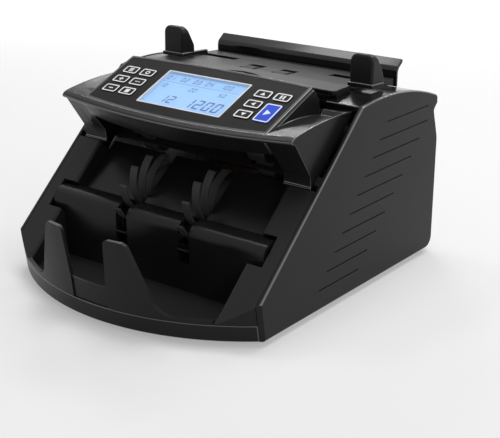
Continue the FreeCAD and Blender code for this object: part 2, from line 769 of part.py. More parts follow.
def arm():
    """Right arm beside the mouth: a slanted face, a wall turned back and a toe on the apron."""
    x1 = INNER - ARM_SEAM
    toe_low = APRON_TOP_Z - ARM_WALL
    low = (SHOULDER_Z - toe_low) / math.sin(SLANT)
    face = slant_bar(ARM_TOP_S, low, -ARM_WALL, 0, MOUTH_HALF, x1)
    wall = slant_bar(ARM_TOP_S, low, -ARM_RETURN, 0, MOUTH_HALF, MOUTH_HALF + ARM_WALL)
    solid = rounded(fuse([face, wall]), ARM_ROUND, is_inner_front)
    solid = solid.cut(slant_bar(LEDGE_NOTCH_S, LEDGE_NOTCH_S + LEDGE_NOTCH_LENGTH, -ARM_RETURN - OVER, OVER,
                                MOUTH_HALF - OVER, MOUTH_HALF + LEDGE_NOTCH_DEPTH))
    solid = solid.cut(rod_x(WHEEL_Y, WHEEL_Z, SHAFT_RADIUS + SHAFT_CLEARANCE, MOUTH_HALF - OVER,
                            MOUTH_HALF + ARM_WALL + OVER))
    toe = box(MOUTH_HALF, x1, FRONT_FAR_Y, slant(low, 0)[0] + 2 * ARM_WALL, toe_low, APRON_TOP_Z)
    rest = front_cone(-WALL, APRON_TOP_Z - OVER, SHOULDER_Z + OVER)
    front = front_cone(0, APRON_TOP_Z, SHOULDER_Z).cut(rest)
    front = front.common(slant_bar(ARM_TOP_S, 2 * low, -WIDTH, 0, MOUTH_HALF, x1))
    solid = fuse([solid, toe, front.common(box(MOUTH_HALF, x1, FRONT_FAR_Y, CORNER_Y, 0, SHOULDER_Z))])
    solid = solid.common(front_cone(0, BASE_TOP + SEAM, SHOULDER_Z))
    apron_room = box(0, HALF, FRONT_FAR_Y, 0, 0, APRON_TOP_Z + SEAM)
    return solid.cut(apron_room.cut(front_cone(-WALL - SEAM, -OVER, APRON_TOP_Z + OVER)))


def is_inner_front(edge):
    """Whether an edge runs down the slant at the mouth's front corner."""
    a, b = edge.Vertexes[0].Point, edge.Vertexes[-1].Point
    on_plane = all(abs(point_t(p)) < 1e-4 for p in (a, b))
    return on_plane and abs(a.x - MOUTH_HALF) < 1e-4 and abs(b.x - MOUTH_HALF) < 1e-4


def point_t(p):
    """How far a point stands out of the slanted front."""
    return -(p.y - SHOULDER_Y) * math.sin(SLANT) + (p.z - SHOULDER_Z) * math.cos(SLANT)


def tray_floor():
    half = MOUTH_HALF - TRAY_FIT
    top = TRAY_FLOOR_Z + TRAY_FLOOR_THICKNESS
    plate = box(-half, half, FRONT_FAR_Y, LEDGE_FRONT_Y, TRAY_FLOOR_Z, top)
    plate = plate.common(front_cone(-WALL - SEAM, TRAY_FLOOR_Z, top))
    rib_front = CORNER_Y - FRONT_BOW / 2
    rib_back = LEDGE_FRONT_Y - TRAY_RIB_SETBACK
    rib_half = TRAY_RIB_WIDTH / 2
    ribs = [box(x - rib_half, x + rib_half, rib_front, rib_back, BASE_TOP, TRAY_FLOOR_Z)
            for x in (-TRAY_RIB_X, 0, TRAY_RIB_X)]
    return fuse([plate] + ribs)


def stacker_plate():
    """Wall behind the tray, with a rounded ledge on top and a slot for each stacker wheel."""
    back = LEDGE_FRONT_Y + LEDGE_DEPTH
    front = LEDGE_FRONT_Y + WALL
    skirt_z = LEDGE_TOP_Z - LEDGE_SKIRT
    half = MOUTH_HALF - STACKER_FIT
    profile = [(LEDGE_FRONT_Y, BASE_TOP), (LEDGE_FRONT_Y, LEDGE_TOP_Z, LEDGE_ROUND),
               (back, LEDGE_TOP_Z, LEDGE_REAR_ROUND), (back, skirt_z), (back - WALL, skirt_z),
               (back - WALL, LEDGE_TOP_Z - WALL), (front, LEDGE_TOP_Z - WALL, LEDGE_ROUND - WALL),
               (front, BASE_TOP)]
    wall = bar_x(profile, -half, half)
    end = MOUTH_HALF + LEDGE_NOTCH_DEPTH - LEDGE_END_GAP
    notch_s0 = LEDGE_NOTCH_S + LEDGE_SIDE_GAP
    notch_s1 = LEDGE_NOTCH_S + LEDGE_NOTCH_LENGTH - LEDGE_SIDE_GAP
    ledge = bar_x(profile, -end, end)
    ledge = ledge.common(slant_bar(notch_s0, notch_s1, -ARM_RETURN, ARM_RETURN, -HALF, HALF))
    slope = [(back - WALL, skirt_z), (back, skirt_z), (SLOPE_TOP_Y, SLOPE_TOP_Z - SLOPE_WALL),
             (SLOPE_TOP_Y, SLOPE_TOP_Z), (back - WALL, LEDGE_TOP_Z - SLOPE_LAP)]
    plate = fuse([wall, ledge, bar_x(slope, -half, half)])
    for x in (-WHEEL_X, WHEEL_X):
        gap = WHEEL_WIDTH / 2 + WHEEL_SLOT_GAP
        plate = plate.cut(rod_x(WHEEL_Y, WHEEL_Z, WHEEL_RADIUS + WHEEL_SLOT_GAP, x - gap, x + gap))
    return plate


def top_cover():
    """Crowned cover between the side panels, with the shoulders, the hopper opening and the grip lip."""
    outer = rounded(cover_section(COVER_INSET), SHOULDER_ROUND, is_shoulder_front)
    inner = cover_section(COVER_INSET + WALL)
    shell = outer.cut(inner)
    shell = shell.common(box(-INNER + SEAM, INNER - SEAM, 0, BACK_Y, 0, TOP_FAR_Z))
    rear = HOPPER_REAR_Y - COVER_REAR_LAND
    opening = box(-COVER_OPENING, COVER_OPENING, SHOULDER_Y - OVER, rear, 0, TOP_FAR_Z)
    stem_half = GUIDE_STEM_WIDTH / 2 + STEM_CLEARANCE
    reach = GUIDE_INNER_X + GUIDE_STEM + STEM_CLEARANCE
    stems = box(-reach, reach, GUIDE_STEM_Y - stem_half, GUIDE_STEM_Y + stem_half, 0, TOP_FAR_Z)
    return shell.cut(opening).cut(stems)


def is_shoulder_front(edge):
    """Whether an edge is the front top edge of the shoulders."""
    at_front = all(abs(v.Y - SHOULDER_Y - COVER_INSET) < 1e-4 for v in edge.Vertexes)
    return at_front and all(abs(v.Z - SHOULDER_Z + COVER_INSET) < 1e-4 for v in edge.Vertexes)


def cover_section(inset):
    """Solid under the crowned line, from the shoulder's front face round the grip lip, moved in by inset."""
    lift = yz(-HALF)
    arc = top_arc(inset)
    front_y = SHOULDER_Y + inset
    start = (front_y, SHOULDER_Z - inset)
    lip = BACK_Y - GRIP_LIP_DEPTH - inset
    low_back = GRIP_NOTCH_Z + COVER_LIP_RISE
    low_front = SHOULDER_Z - SHOULDER_FACE
    points = [arc[2], (lip, GRIP_LIP_Z - inset, COVER_LIP_ROUND), (lip, low_back), (CROWN_Y, low_back),
              (SHOULDER_Y + 2 * SHOULDER_FACE, low_front), (front_y, low_front), start]
    closed = outline(points, lift)
    edges = [e for e in closed.Edges if not joins(e, lift(start), lift(arc[2]))]
    edges.append(arc_edge((start, arc[1], arc[2]), lift))
    return prism(Part.Wire(Part.__sortEdges__(edges)), vec(WIDTH, 0, 0))


def rear_cover():
    """Back wall between the side panels, with vents and holes for the sockets and the switch."""
    top_y = BACK_Y - GRIP_NOTCH_DEPTH
    top_z = GRIP_NOTCH_Z + REAR_COVER_RISE
    profile = [(BACK_Y - WALL, FOOT_HEIGHT + SEAM), (BACK_Y, FOOT_HEIGHT + SEAM, REAR_COVER_ROUND),
               (BACK_Y, BACK_STRAIGHT_TOP, BACK_BEND_ROUND), (top_y, top_z), (top_y - WALL, top_z),
               (BACK_Y - WALL, BACK_STRAIGHT_TOP, BACK_BEND_ROUND)]
    wall = bar_x(profile, -INNER + SEAM, INNER - SEAM)
    for i in range(VENT_COUNT):
        slot = rounded_rect(0, VENT_Z + i * VENT_PITCH, 2 * VENT_HALF, VENT_HEIGHT, VENT_ROUND)
        wall = wall.cut(bar_y(slot, BACK_Y - 2 * WALL, BACK_Y + OVER))
    for x, half_x, half_z in ((INLET_X, INLET_HALF_X, INLET_HALF_Z), (SWITCH_X, SWITCH_HALF_X, SWITCH_HALF_Z),
                              (SOCKET_X, SOCKET_HALF_X, SOCKET_HALF_Z)):
        hole = box(x - half_x, x + half_x, BACK_Y - 2 * WALL, BACK_Y + OVER, REAR_ROW_Z - half_z,
                   REAR_ROW_Z + half_z)
        wall = wall.cut(hole)
    start = vec(FUSE_X, BACK_Y - 2 * WALL, REAR_ROW_Z)
    return wall.cut(Part.makeCylinder(FUSE_RADIUS, 4 * WALL, start, Y_AXIS))


def hopper_plate():
    """Front plate of the hopper with a finger scoop and a chute wall turned down at the feed slot."""
    low = HOPPER_Z - HOPPER_PLATE
    top = [(-HOPPER_HALF, HOPPER_FRONT_Y, HOPPER_CORNER), (HOPPER_HALF, HOPPER_FRONT_Y, HOPPER_CORNER),
           (HOPPER_HALF, FEED_SLOT_Y), (-HOPPER_HALF, FEED_SLOT_Y)]
    plate = bar_z(top, low, HOPPER_Z)
    radius = (SCOOP_HALF ** 2 + SCOOP_DEPTH ** 2) / (2 * SCOOP_DEPTH)
    scoop_y = HOPPER_FRONT_Y + SCOOP_DEPTH - radius
    plate = plate.cut(Part.makeCylinder(radius, 2 * HOPPER_PLATE, vec(0, scoop_y, low - OVER), Z_AXIS))
    chute_half = COVER_OPENING - CHUTE_FIT
    chute = box(-chute_half, chute_half, FEED_SLOT_Y - CHUTE_WALL, FEED_SLOT_Y, low - CHUTE_DEPTH, low)
    skirt = box(HOPPER_HALF - HOPPER_SKIRT, HOPPER_HALF, HOPPER_FRONT_Y + HOPPER_SKIRT_SETBACK, FEED_SLOT_Y,
                SHOULDER_Z - WALL, low).cut(cover_section(SEAM))
    plate = fuse([plate, chute, skirt, mirrored(skirt)])
    return rounded(plate, HOPPER_ROUND, lambda e: all(abs(v.Z - HOPPER_Z) < 1e-4 for v in e.Vertexes)
                   and max(v.Y for v in e.Vertexes) < FEED_SLOT_Y - OVER)


def floor_z(y):
    """Height of the hopper floor's top."""
    y0 = FEED_SLOT_Y + FEED_SLOT_WIDTH
    rise = HOPPER_FLOOR_REAR_Z - HOPPER_FLOOR_FRONT_Z
    return HOPPER_FLOOR_FRONT_Z + rise * (y - y0) / (HOPPER_REAR_Y - y0)


def hopper_floor():
    y0 = FEED_SLOT_Y + FEED_SLOT_WIDTH
    y1 = HOPPER_REAR_Y
    low0 = floor_z(y0) - HOPPER_FLOOR
    low1 = floor_z(y1) - HOPPER_FLOOR
    sheet = [(y0, floor_z(y0), HOPPER_FLOOR_ROUND), (y1, floor_z(y1)), (y1, low1), (y0, low0)]
    plate = bar_x(sheet, -HOPPER_FLOOR_HALF, HOPPER_FLOOR_HALF)
    skirt = bar_x([(y0, low0), (y1, low1), (y1, REAR_TOP_Z), (y0, REAR_TOP_Z)],
                  HOPPER_FLOOR_HALF - HOPPER_FLOOR_SKIRT, HOPPER_FLOOR_HALF)
    cover = cover_section(SEAM).cut(box(-COVER_OPENING, COVER_OPENING, 0, BACK_Y, 0, HOPPER_Z))
    plate = fuse([plate, skirt, mirrored(skirt)]).cut(cover)
    half = GUIDE_STEM_WIDTH / 2 + STEM_SIDE_CLEARANCE
    slot = box(GUIDE_INNER_X - GUIDE_TRAVEL - STEM_CLEARANCE, GUIDE_INNER_X + GUIDE_STEM + STEM_CLEARANCE,
               GUIDE_STEM_Y - half, GUIDE_STEM_Y + half, REAR_TOP_Z, HOPPER_Z)
    gap = PICKUP_ROLLER_WIDTH / 2 + ROLLER_CLEARANCE
    window = box(PICKUP_ROLLER_X - gap, PICKUP_ROLLER_X + gap, PICKUP_Y - PICKUP_WINDOW,
                 PICKUP_Y + PICKUP_WINDOW, REAR_TOP_Z, HOPPER_Z)
    for opening in (slot, mirrored(slot), window, mirrored(window)):
        plate = plate.cut(opening)
    return plate


def hopper_support():
    """Upright behind the hopper with a flared top lip."""
    top = SUPPORT_TOP_Z
    low = REAR_TOP_Z - SUPPORT_DEPTH
    back = SUPPORT_Y + SUPPORT_WALL
    flare_y = SUPPORT_Y + SUPPORT_FLARE_Y
    flare_z = top + SUPPORT_FLARE_Z
    profile = [(SUPPORT_Y, low), (SUPPORT_Y, top, SUPPORT_ROUND), (flare_y, flare_z + SUPPORT_LIP_RISE),
               (flare_y + SUPPORT_LIP_DEPTH, flare_z), (back, top - SUPPORT_BACK_DROP, SUPPORT_ROUND),
               (back, low)]
    upright = bar_x(profile, -HOPPER_HALF, HOPPER_HALF)
    return upright.cut(cover_section(SEAM))


def note_guide():
    """Right guide: a box open at the back, with a stem through the floor to its carriage on the rail."""
    x0 = GUIDE_INNER_X
    x1 = GUIDE_INNER_X + GUIDE_WIDTH
    y0 = GUIDE_FRONT_Y
    y1 = GUIDE_FRONT_Y + GUIDE_DEPTH
    side = [(y0, guide_z(y0)), (y0 + GUIDE_LEAN, GUIDE_TOP_Z),
            (y0 + GUIDE_TOP_DEPTH, GUIDE_TOP_Z, GUIDE_TOP_ROUND),
            (y1 - GUIDE_LEAN, guide_z(y1) + GUIDE_REAR_RISE, GUIDE_REAR_ROUND), (y1, guide_z(y1))]
    front = [(x0, 0), (x1, 0), (x1, GUIDE_TOP_Z, GUIDE_CORNER), (x0, GUIDE_TOP_Z, GUIDE_CORNER)]
    shell = bar_x(side, x0, x1).common(bar_y(front, 0, BACK_Y))
    shell = rounded(shell, GUIDE_FRONT_ROUND, is_guide_front)
    flange = [(y0 - GUIDE_FLANGE, guide_z(y0)), (y0 - GUIDE_FLANGE, guide_z(y0) + GUIDE_FLANGE_HEIGHT),
              (y1, guide_z(y1) + GUIDE_FLANGE_HEIGHT), (y1, guide_z(y1))]
    shell = fuse([shell, bar_x(flange, x0 - GUIDE_FLANGE, x1 + GUIDE_FLANGE)])
    room_top = GUIDE_TOP_Z - GUIDE_CEILING
    room = [(y0 + GUIDE_WALL, 0), (y0 + GUIDE_LEAN + GUIDE_WALL, room_top), (BACK_Y, room_top), (BACK_Y, 0)]
    shell = shell.cut(bar_x(room, x0 + GUIDE_WALL, x1 - GUIDE_WALL))
    half = GUIDE_STEM_WIDTH / 2
    rail = rail_z()
    foot_y0 = y1 - GUIDE_FOOT
    foot_y1 = GUIDE_STEM_Y + half
    foot = [(foot_y0, guide_z(foot_y0)), (foot_y1, guide_z(foot_y1)),
            (foot_y1, guide_z(foot_y1) + GUIDE_FOOT), (foot_y0, guide_z(foot_y0) + GUIDE_FOOT)]
    stem = box(x0, x0 + GUIDE_STEM, GUIDE_STEM_Y - half, foot_y1, rail + GUIDE_RAIL_RADIUS + GUIDE_STEM_LAP,
               guide_z(foot_y1) + GUIDE_STEM_LAP)
    middle = x0 + GUIDE_STEM / 2
    block = GUIDE_CARRIAGE / 2
    depth = GUIDE_CARRIAGE_DEPTH / 2
    height = GUIDE_CARRIAGE_HEIGHT / 2
    carriage = box(middle - block, middle + block, GUIDE_STEM_Y - depth, GUIDE_STEM_Y + depth, rail - height,
                   rail + height)
    guide = fuse([shell, bar_x(foot, x0, x0 + GUIDE_STEM), stem, carriage])
    return guide.cut(rod_x(GUIDE_STEM_Y, rail, GUIDE_RAIL_RADIUS + RUNNING_FIT, 0, HALF))


def is_guide_front(edge):
    """Whether an edge goes round the guide's front face, above its foot."""
    at_front = all(v.Y < GUIDE_FRONT_Y + GUIDE_LEAN + 1e-4 for v in edge.Vertexes)
    return at_front and max(v.Z for v in edge.Vertexes) > guide_z(GUIDE_FRONT_Y) + 1e-4


def guide_z(y):
    """Height of the guides' underside, just clear of the hopper floor."""
    return floor_z(y) + GUIDE_LIFT


def rail_z():
    return floor_z(GUIDE_STEM_Y) - HOPPER_FLOOR - GUIDE_RAIL_DROP


def guide_rail():
    return rod_x(GUIDE_STEM_Y, rail_z(), GUIDE_RAIL_RADIUS, -CHASSIS_X, CHASSIS_X)


HOOD_HALF = HALF - HOOD_SIDE_GAP
TILT = math.radians(CONSOLE_TILT_DEG)
RIM_STATIONS = 9


def rim_y(x):
    return HOOD_TIP_Y - RIM_BOW * (1 - (x / HOOD_HALF) ** 2)


def rim_z(x):
    return HOOD_TIP_Z - RIM_DROP * (1 - (x / HOOD_HALF) ** 2)


def lip_y(x):
    return LIP_END_Y - LIP_BOW * (1 - (x / CONSOLE_HALF) ** 2)


def lip_z(x):
    return LIP_END_Z - LIP_DROP * (1 - (x / CONSOLE_HALF) ** 2)


def loft(wires, ruled=False):
    return Part.makeLoft(wires, True, ruled)


def polygon_at(x, points):
    lifted = [vec(x, *p) for p in points]
    return Part.makePolygon(lifted + lifted[:1])


def stations(half):
    return [half * (2 * i / (RIM_STATIONS - 1) - 1) for i in range(RIM_STATIONS)]


def rim_top(x, back):
    """Point on the rim's top, level with the console's slope, back from its front line."""
    return (rim_y(x) + back, rim_z(x) + back * math.tan(TILT))


def rim_band():
    """Thin bullnose along the whole front edge of the hood."""
    wires = []
    for x in stations(HOOD_HALF):
        y = rim_y(x)
        z = rim_z(x)
        low = z - RIM_HEIGHT
        back = y + 2 * RIM_DEPTH
        wires.append(polygon_at(x, [rim_top(x, RIM_DEPTH), rim_top(x, RIM_DEPTH / 3),
                                    (y, z - RIM_HEIGHT / 3), (y, low + RIM_HEIGHT / 3), (y + RIM_UNDERCUT, low),
                                    (back, low), (back, z - RIM_HEIGHT / 2)]))
    return loft(wires)


def lip_band():
    """Bowed front lip from the rim down to the top of the mouth."""
    wires = []
    for x in stations(CONSOLE_HALF):
        top_y = rim_y(x) + LIP_TUCK
        top_z = rim_z(x) - RIM_HEIGHT + LIP_LAP
        y = lip_y(x)
        z = lip_z(x)
        depth = HOOD_WALL + LIP_ROUND
        wires.append(polygon_at(x, [(top_y, top_z), (y, z + LIP_ROUND), (y + LIP_ROUND, z), (y + depth, z),
                                    (top_y + depth, top_z)]))
    return loft(wires)


def cheek_wire(x, mid_z, dish_z, rear_z):
    """Side-view outline of a cheek: crowned top, dish with its rear wall, and the foot below."""
    lift = yz(x)
    front = rim_top(x, RIM_DEPTH)
    dish = (DISH_Y, dish_z)
    corners = [dish, (DISH_WALL_Y, rear_z), (SHOULDER_Y - HOOD_REAR_GAP, rear_z),
               slant(CHEEK_TOP_S, -HOOD_CHANNEL), slant(CHEEK_FOOT_S, -HOOD_CHANNEL),
               slant(CHEEK_FOOT_S, CHEEK_TOE_T), (CHEEK_KNEE_Y, CHEEK_KNEE_Z),
               (rim_y(x) + RIM_DEPTH / 2, rim_z(x) - RIM_HEIGHT / 2), front]
    edges = [Part.Arc(lift(front), lift((CROWN_MID_Y, mid_z)), lift(dish)).toShape()]
    edges += [Part.makeLine(lift(a), lift(b)) for a, b in zip(corners, corners[1:])]
    return Part.Wire(edges)


def cheek():
    """Right cheek with its dished wing on top, hollow towards the back."""
    body = loft([cheek_wire(CONSOLE_HALF, ROOT_MID_Z, ROOT_DISH_Z, ROOT_REAR_Z),
                 cheek_wire(VALLEY_X, VALLEY_MID_Z, VALLEY_DISH_Z, VALLEY_REAR_Z),
                 cheek_wire(HOOD_HALF, RIDGE_MID_Z, RIDGE_DISH_Z, RIDGE_REAR_Z)], True)
    ceiling = ROOT_DISH_Z - HOOD_WALL
    roof = 1.5 * HOOD_WALL
    end = HOOD_PIVOT_S - HOLLOW_END
    hollow = [(HOOD_TIP_Y + 2 * RIM_DEPTH, HOOD_TIP_Z - roof), (CROWN_MID_Y, ROOT_MID_Z - roof),
              (DISH_Y, ceiling),
              (SHOULDER_Y - HOOD_REAR_GAP - HOOD_WALL, ceiling), slant(HOLLOW_TOP_S, -2 * HOOD_CHANNEL),
              slant(end, -2 * HOOD_CHANNEL), slant(end, HOLLOW_OUT)]
    body = body.cut(bar_x(hollow, CONSOLE_HALF + HOOD_WALL, HOOD_HALF - HOOD_WALL))
    lip = slant_bar(CHEEK_FOOT_S - CHEEK_LIP, CHEEK_FOOT_S, -HOOD_CHANNEL, CHEEK_TOE_T + CHEEK_LIP,
                    CONSOLE_HALF, HOOD_HALF)
    pivot = slant(HOOD_PIVOT_S, HOOD_PIVOT_T)
    boss = rod_x(*pivot, HINGE_BOSS_RADIUS, HOOD_HALF - HINGE_BOSS, HOOD_HALF)
    body = fuse([body, lip, boss])
    body = body.cut(rod_x(*pinch_centre(), PINCH_SHAFT_RADIUS + RUNNING_FIT, CONSOLE_HALF - OVER,
                          CONSOLE_HALF + HOOD_WALL + OVER))
    return body.cut(rod_x(*pivot, HINGE_PIN_RADIUS, HOOD_HALF - HINGE_BORE, HOOD_HALF + OVER))


def console_point(v, w):
    """Side-view point at v up the console's slope and w out of it."""
    y = CONSOLE_Y + v * math.cos(TILT) - w * math.sin(TILT)
    z = CONSOLE_Z + v * math.sin(TILT) + w * math.cos(TILT)
    return (y, z)


def console_walls():
    """Side and rear walls of the console box, under the panel."""
    seat = -PANEL_THICKNESS
    front = console_point(PANEL_FRONT_V + CONSOLE_FRONT_SETBACK, seat)
    rear = console_point(PANEL_REAR_V, seat)
    knee = (CONSOLE_FOOT_Y, rear[1] - CONSOLE_REAR_FALL)
    foot = (CONSOLE_FOOT_Y + CONSOLE_FOOT_LEAN, ROOT_DISH_Z - CONSOLE_FOOT_DROP)
    side = [front, rear, knee, foot, (front[0] + CONSOLE_FOOT_LEAN, HOOD_TIP_Z - CONSOLE_FRONT_DROP)]
    wall = bar_x(side, CONSOLE_HALF - HOOD_WALL, CONSOLE_HALF + CONSOLE_SIDE_LAP)
    back = [rear, knee, foot, (foot[0] - HOOD_WALL, foot[1]), (knee[0] - HOOD_WALL, knee[1]),
            console_point(PANEL_REAR_V - HOOD_WALL, seat)]
    return [wall, mirrored(wall), bar_x(back, -CONSOLE_HALF, CONSOLE_HALF)]


def hood_shell():
    right = cheek()
    shell = fuse([rim_band(), lip_band(), right, mirrored(right)] + console_walls())
    return shell.cut(on_console(slab(panel_wire(-PANEL_FIT, -PANEL_THICKNESS), 10 * PANEL_THICKNESS)))


def on_console(shape):
    """Place a shape made flat at the origin onto the console's slope."""
    placed = shape.copy()
    placed.rotate(ORIGIN, X_AXIS, CONSOLE_TILT_DEG)
    placed.translate(vec(0, CONSOLE_Y, CONSOLE_Z))
    return placed


def panel_wire(inset, z):
    """Console outline with bowed front and rear edges, moved in by inset."""
    half = CONSOLE_HALF - inset
    front = PANEL_FRONT_V + inset
    rear = PANEL_REAR_V - inset
    corners = [vec(-half, front, z), vec(half, front, z), vec(half, rear, z), vec(-half, rear, z)]
    edges = [Part.Arc(corners[0], vec(0, front - PANEL_FRONT_BOW, z), corners[1]).toShape(),
             Part.makeLine(corners[1], corners[2]),
             Part.Arc(corners[2], vec(0, rear + PANEL_REAR_BOW, z), corners[3]).toShape(),
             Part.makeLine(corners[3], corners[0])]
    return Part.Wire(edges)


def slab(wire, thickness):
    """Solid of the given thickness above a flat wire, with its upright corners rounded."""
    solid = prism(wire, vec(0, 0, thickness))
    return rounded(solid, PANEL_CORNER, lambda e: abs(e.Vertexes[0].Z - e.Vertexes[-1].Z) > thickness / 2)


def rounded_rect(x, v, width, height, radius):
    w = width / 2
    h = height / 2
    return [(x - w, v - h, radius), (x + w, v - h, radius), (x + w, v + h, radius), (x - w, v + h, radius)]


def lcd_outline(margin, radius):
    """Outline of the display's window, moved out by margin."""
    return rounded_rect(0, 0, 2 * (LCD_HALF_WIDTH + margin), 2 * (LCD_HALF_HEIGHT + margin), radius)


def key_places():
    """Name, centre and height of each key on the console."""
    places = []
    for column, x in (("outer", -KEY_OUTER_X), ("inner", -KEY_INNER_X)):
        for row, step in (("top", 1), ("middle", 0), ("bottom", -1)):
            places.append(("left_" + column + "_" + row + "_key", x, step * KEY_ROW_PITCH, KEY_HEIGHT))
    for row, step in (("top", 1), ("middle", 0), ("bottom", -1)):
        places.append(("right_inner_" + row + "_key", KEY_INNER_X, step * KEY_ROW_PITCH, KEY_HEIGHT))
    places.append(("right_outer_top_key", KEY_OUTER_X, KEY_ROW_PITCH, KEY_HEIGHT))
    places.append(("start_key", KEY_OUTER_X, KEY_TALL_V, KEY_TALL_HEIGHT))
    return places


def console_bezel():
    outer = slab(panel_wire(0, -PANEL_THICKNESS), PANEL_THICKNESS + BEZEL_PROUD)
    outer = rounded(outer, BEZEL_ROUND, lambda e: all(abs(v.Z - BEZEL_PROUD) < 1e-4 for v in e.Vertexes))
    inner = slab(panel_wire(BEZEL_WIDTH, -PANEL_THICKNESS - OVER), 2 * (PANEL_THICKNESS + OVER))
    return on_console(outer.cut(inner))


def console_panel():
    plate = slab(panel_wire(BEZEL_WIDTH + BEZEL_FIT, -PANEL_THICKNESS), PANEL_THICKNESS)
    window = lcd_outline(LCD_BORDER, WINDOW_ROUND)
    plate = plate.cut(bar_z(window, -PANEL_THICKNESS - OVER, OVER))
    for name, x, v, height in key_places():
        hole = rounded_rect(x, v, KEY_WIDTH + 2 * KEY_GAP, height + 2 * KEY_GAP, KEY_CORNER + KEY_GAP)
        plate = plate.cut(bar_z(hole, -PANEL_THICKNESS - OVER, OVER))
    posts = []
    for x, v in board_posts():
        foot = vec(x, v, -PANEL_THICKNESS - KEY_BOARD_GAP)
        posts.append(Part.makeCylinder(POST_RADIUS, KEY_BOARD_GAP, foot, Z_AXIS))
    return on_console(fuse([plate] + posts))


def board_posts():
    """Places of the posts that carry the keypad boards."""
    middle = (KEY_INNER_X + KEY_OUTER_X) / 2
    reach = 1.5 * KEY_ROW_PITCH
    return [(side * middle, v) for side in (-1, 1) for v in (-reach, reach)]


def lcd_frame():
    outer = lcd_outline(LCD_BORDER - FRAME_FIT, WINDOW_ROUND)
    inner = lcd_outline(0, FRAME_ROUND)
    ring = bar_z(outer, -PANEL_THICKNESS, FRAME_PROUD).cut(bar_z(inner, -PANEL_THICKNESS - OVER, OVER))
    return on_console(ring)


def lcd_window():
    pane = lcd_outline(-LCD_FIT, PANE_ROUND)
    return on_console(bar_z(pane, -PANEL_THICKNESS, -PANE_DROP))


def lcd_module():
    body = lcd_outline(MODULE_RIM, WINDOW_ROUND)
    return on_console(bar_z(body, -PANEL_THICKNESS - LCD_MODULE_DEPTH, -PANEL_THICKNESS))


def key(x, v, height):
    cap = bar_z(rounded_rect(x, v, KEY_WIDTH, height, KEY_CORNER), -PANEL_THICKNESS, KEY_PROUD)
    cap = rounded(cap, KEY_ROUND, lambda e: all(abs(p.Z - KEY_PROUD) < 1e-4 for p in e.Vertexes))
    stem_low = -PANEL_THICKNESS - KEY_BOARD_GAP + SWITCH_RISE + KEY_TRAVEL + KEY_SWITCH_GAP
    stem = Part.makeCylinder(KEY_STEM_RADIUS, -PANEL_THICKNESS - stem_low, vec(x, v, stem_low), Z_AXIS)
    return on_console(fuse([cap, stem]))


def keypad_board(side):
    """Small board under one block of keys, with a switch body under each key."""
    middle = side * (KEY_INNER_X + KEY_OUTER_X) / 2
    width = KEY_OUTER_X - KEY_INNER_X + KEY_WIDTH - 2 * BOARD_INSET
    height = 3 * KEY_ROW_PITCH + 2 * BOARD_MARGIN
    top = -PANEL_THICKNESS - KEY_BOARD_GAP
    board = bar_z(rounded_rect(middle, 0, width, height, BOARD_CORNER), top - BOARD_THICKNESS, top)
    switches = []
    for name, x, v, key_height in key_places():
        if x * side > 0:
            body = rounded_rect(x, v, SWITCH_SIZE, SWITCH_SIZE, SWITCH_CORNER)
            switches.append(bar_z(body, top, top + SWITCH_RISE))
    return on_console(fuse([board] + switches))


def upper_guide_plate():
    """Plate closing the hood's underside along the note path, with windows for the pinch rollers."""
    gap = CONSOLE_HALF - SEAM
    top = -HOOD_CHANNEL - UPPER_PLATE_DROP
    plate = slant_bar(GUIDE_PLATE_S0, GUIDE_PLATE_S1, top - GUIDE_SHEET, top, -gap, gap)
    window = roller_window(TRANSPORT_ROLLER_X, TRANSPORT_ROLLER_WIDTH, TRANSPORT_S, IDLER_RADIUS)
    return plate.cut(window).cut(mirrored(window))


def roller_window(x, width, s, reach):
    """Space that lets a roller through the plates of the note path."""
    half = width / 2 + ROLLER_CLEARANCE
    length = reach + ROLLER_END_CLEARANCE
    return slant_bar(s - length, s + length, 2 * PATH_T, 0, x - half, x + half)


def hinge_pins():
    pivot = slant(HOOD_PIVOT_S, HOOD_PIVOT_T)
    pin = rod_x(*pivot, HINGE_PIN_RADIUS, HOOD_HALF - HINGE_BORE, INNER - HINGE_END_GAP)
    return [pin, mirrored(pin)]


def roller_centre(s, radius):
    """Side-view centre of a roller that stands just proud of the note path."""
    return slant(s, PATH_T + ROLLER_PROUD - radius)


def pinch_centre():
    return slant(TRANSPORT_S, PATH_T + ROLLER_PROUD + IDLER_GAP + IDLER_RADIUS)


def pickup_centre():
    return (PICKUP_Y, floor_z(PICKUP_Y) + ROLLER_PROUD - PICKUP_ROLLER_RADIUS)


def retard_centre():
    feed = roller_centre(FEED_S, FEED_ROLLER_RADIUS)
    apart = FEED_ROLLER_RADIUS + RETARD_RADIUS + RETARD_GAP
    return (RETARD_Y, feed[1] + math.sqrt(apart ** 2 - (RETARD_Y - feed[0]) ** 2))


FEED = roller_centre(FEED_S, FEED_ROLLER_RADIUS)
TRANSPORT = roller_centre(TRANSPORT_S, TRANSPORT_ROLLER_RADIUS)
PICKUP = pickup_centre()
STACKER = (WHEEL_Y, WHEEL_Z)
MOTOR = (MOTOR_Y, MOTOR_Z)
STACKER_MOTOR = (STACKER_MOTOR_Y, STACKER_MOTOR_Z)
TIE_BARS = ((TIE_REAR_Y, TIE_REAR_Z), (TIE_MIDDLE_Y, TIE_MIDDLE_Z), (TIE_FRONT_Y, TIE_FRONT_Z))
CHASSIS_OUT = CHASSIS_X + CHASSIS_THICKNESS
SHAFT_END = CHASSIS_OUT + SHAFT_OVERHANG


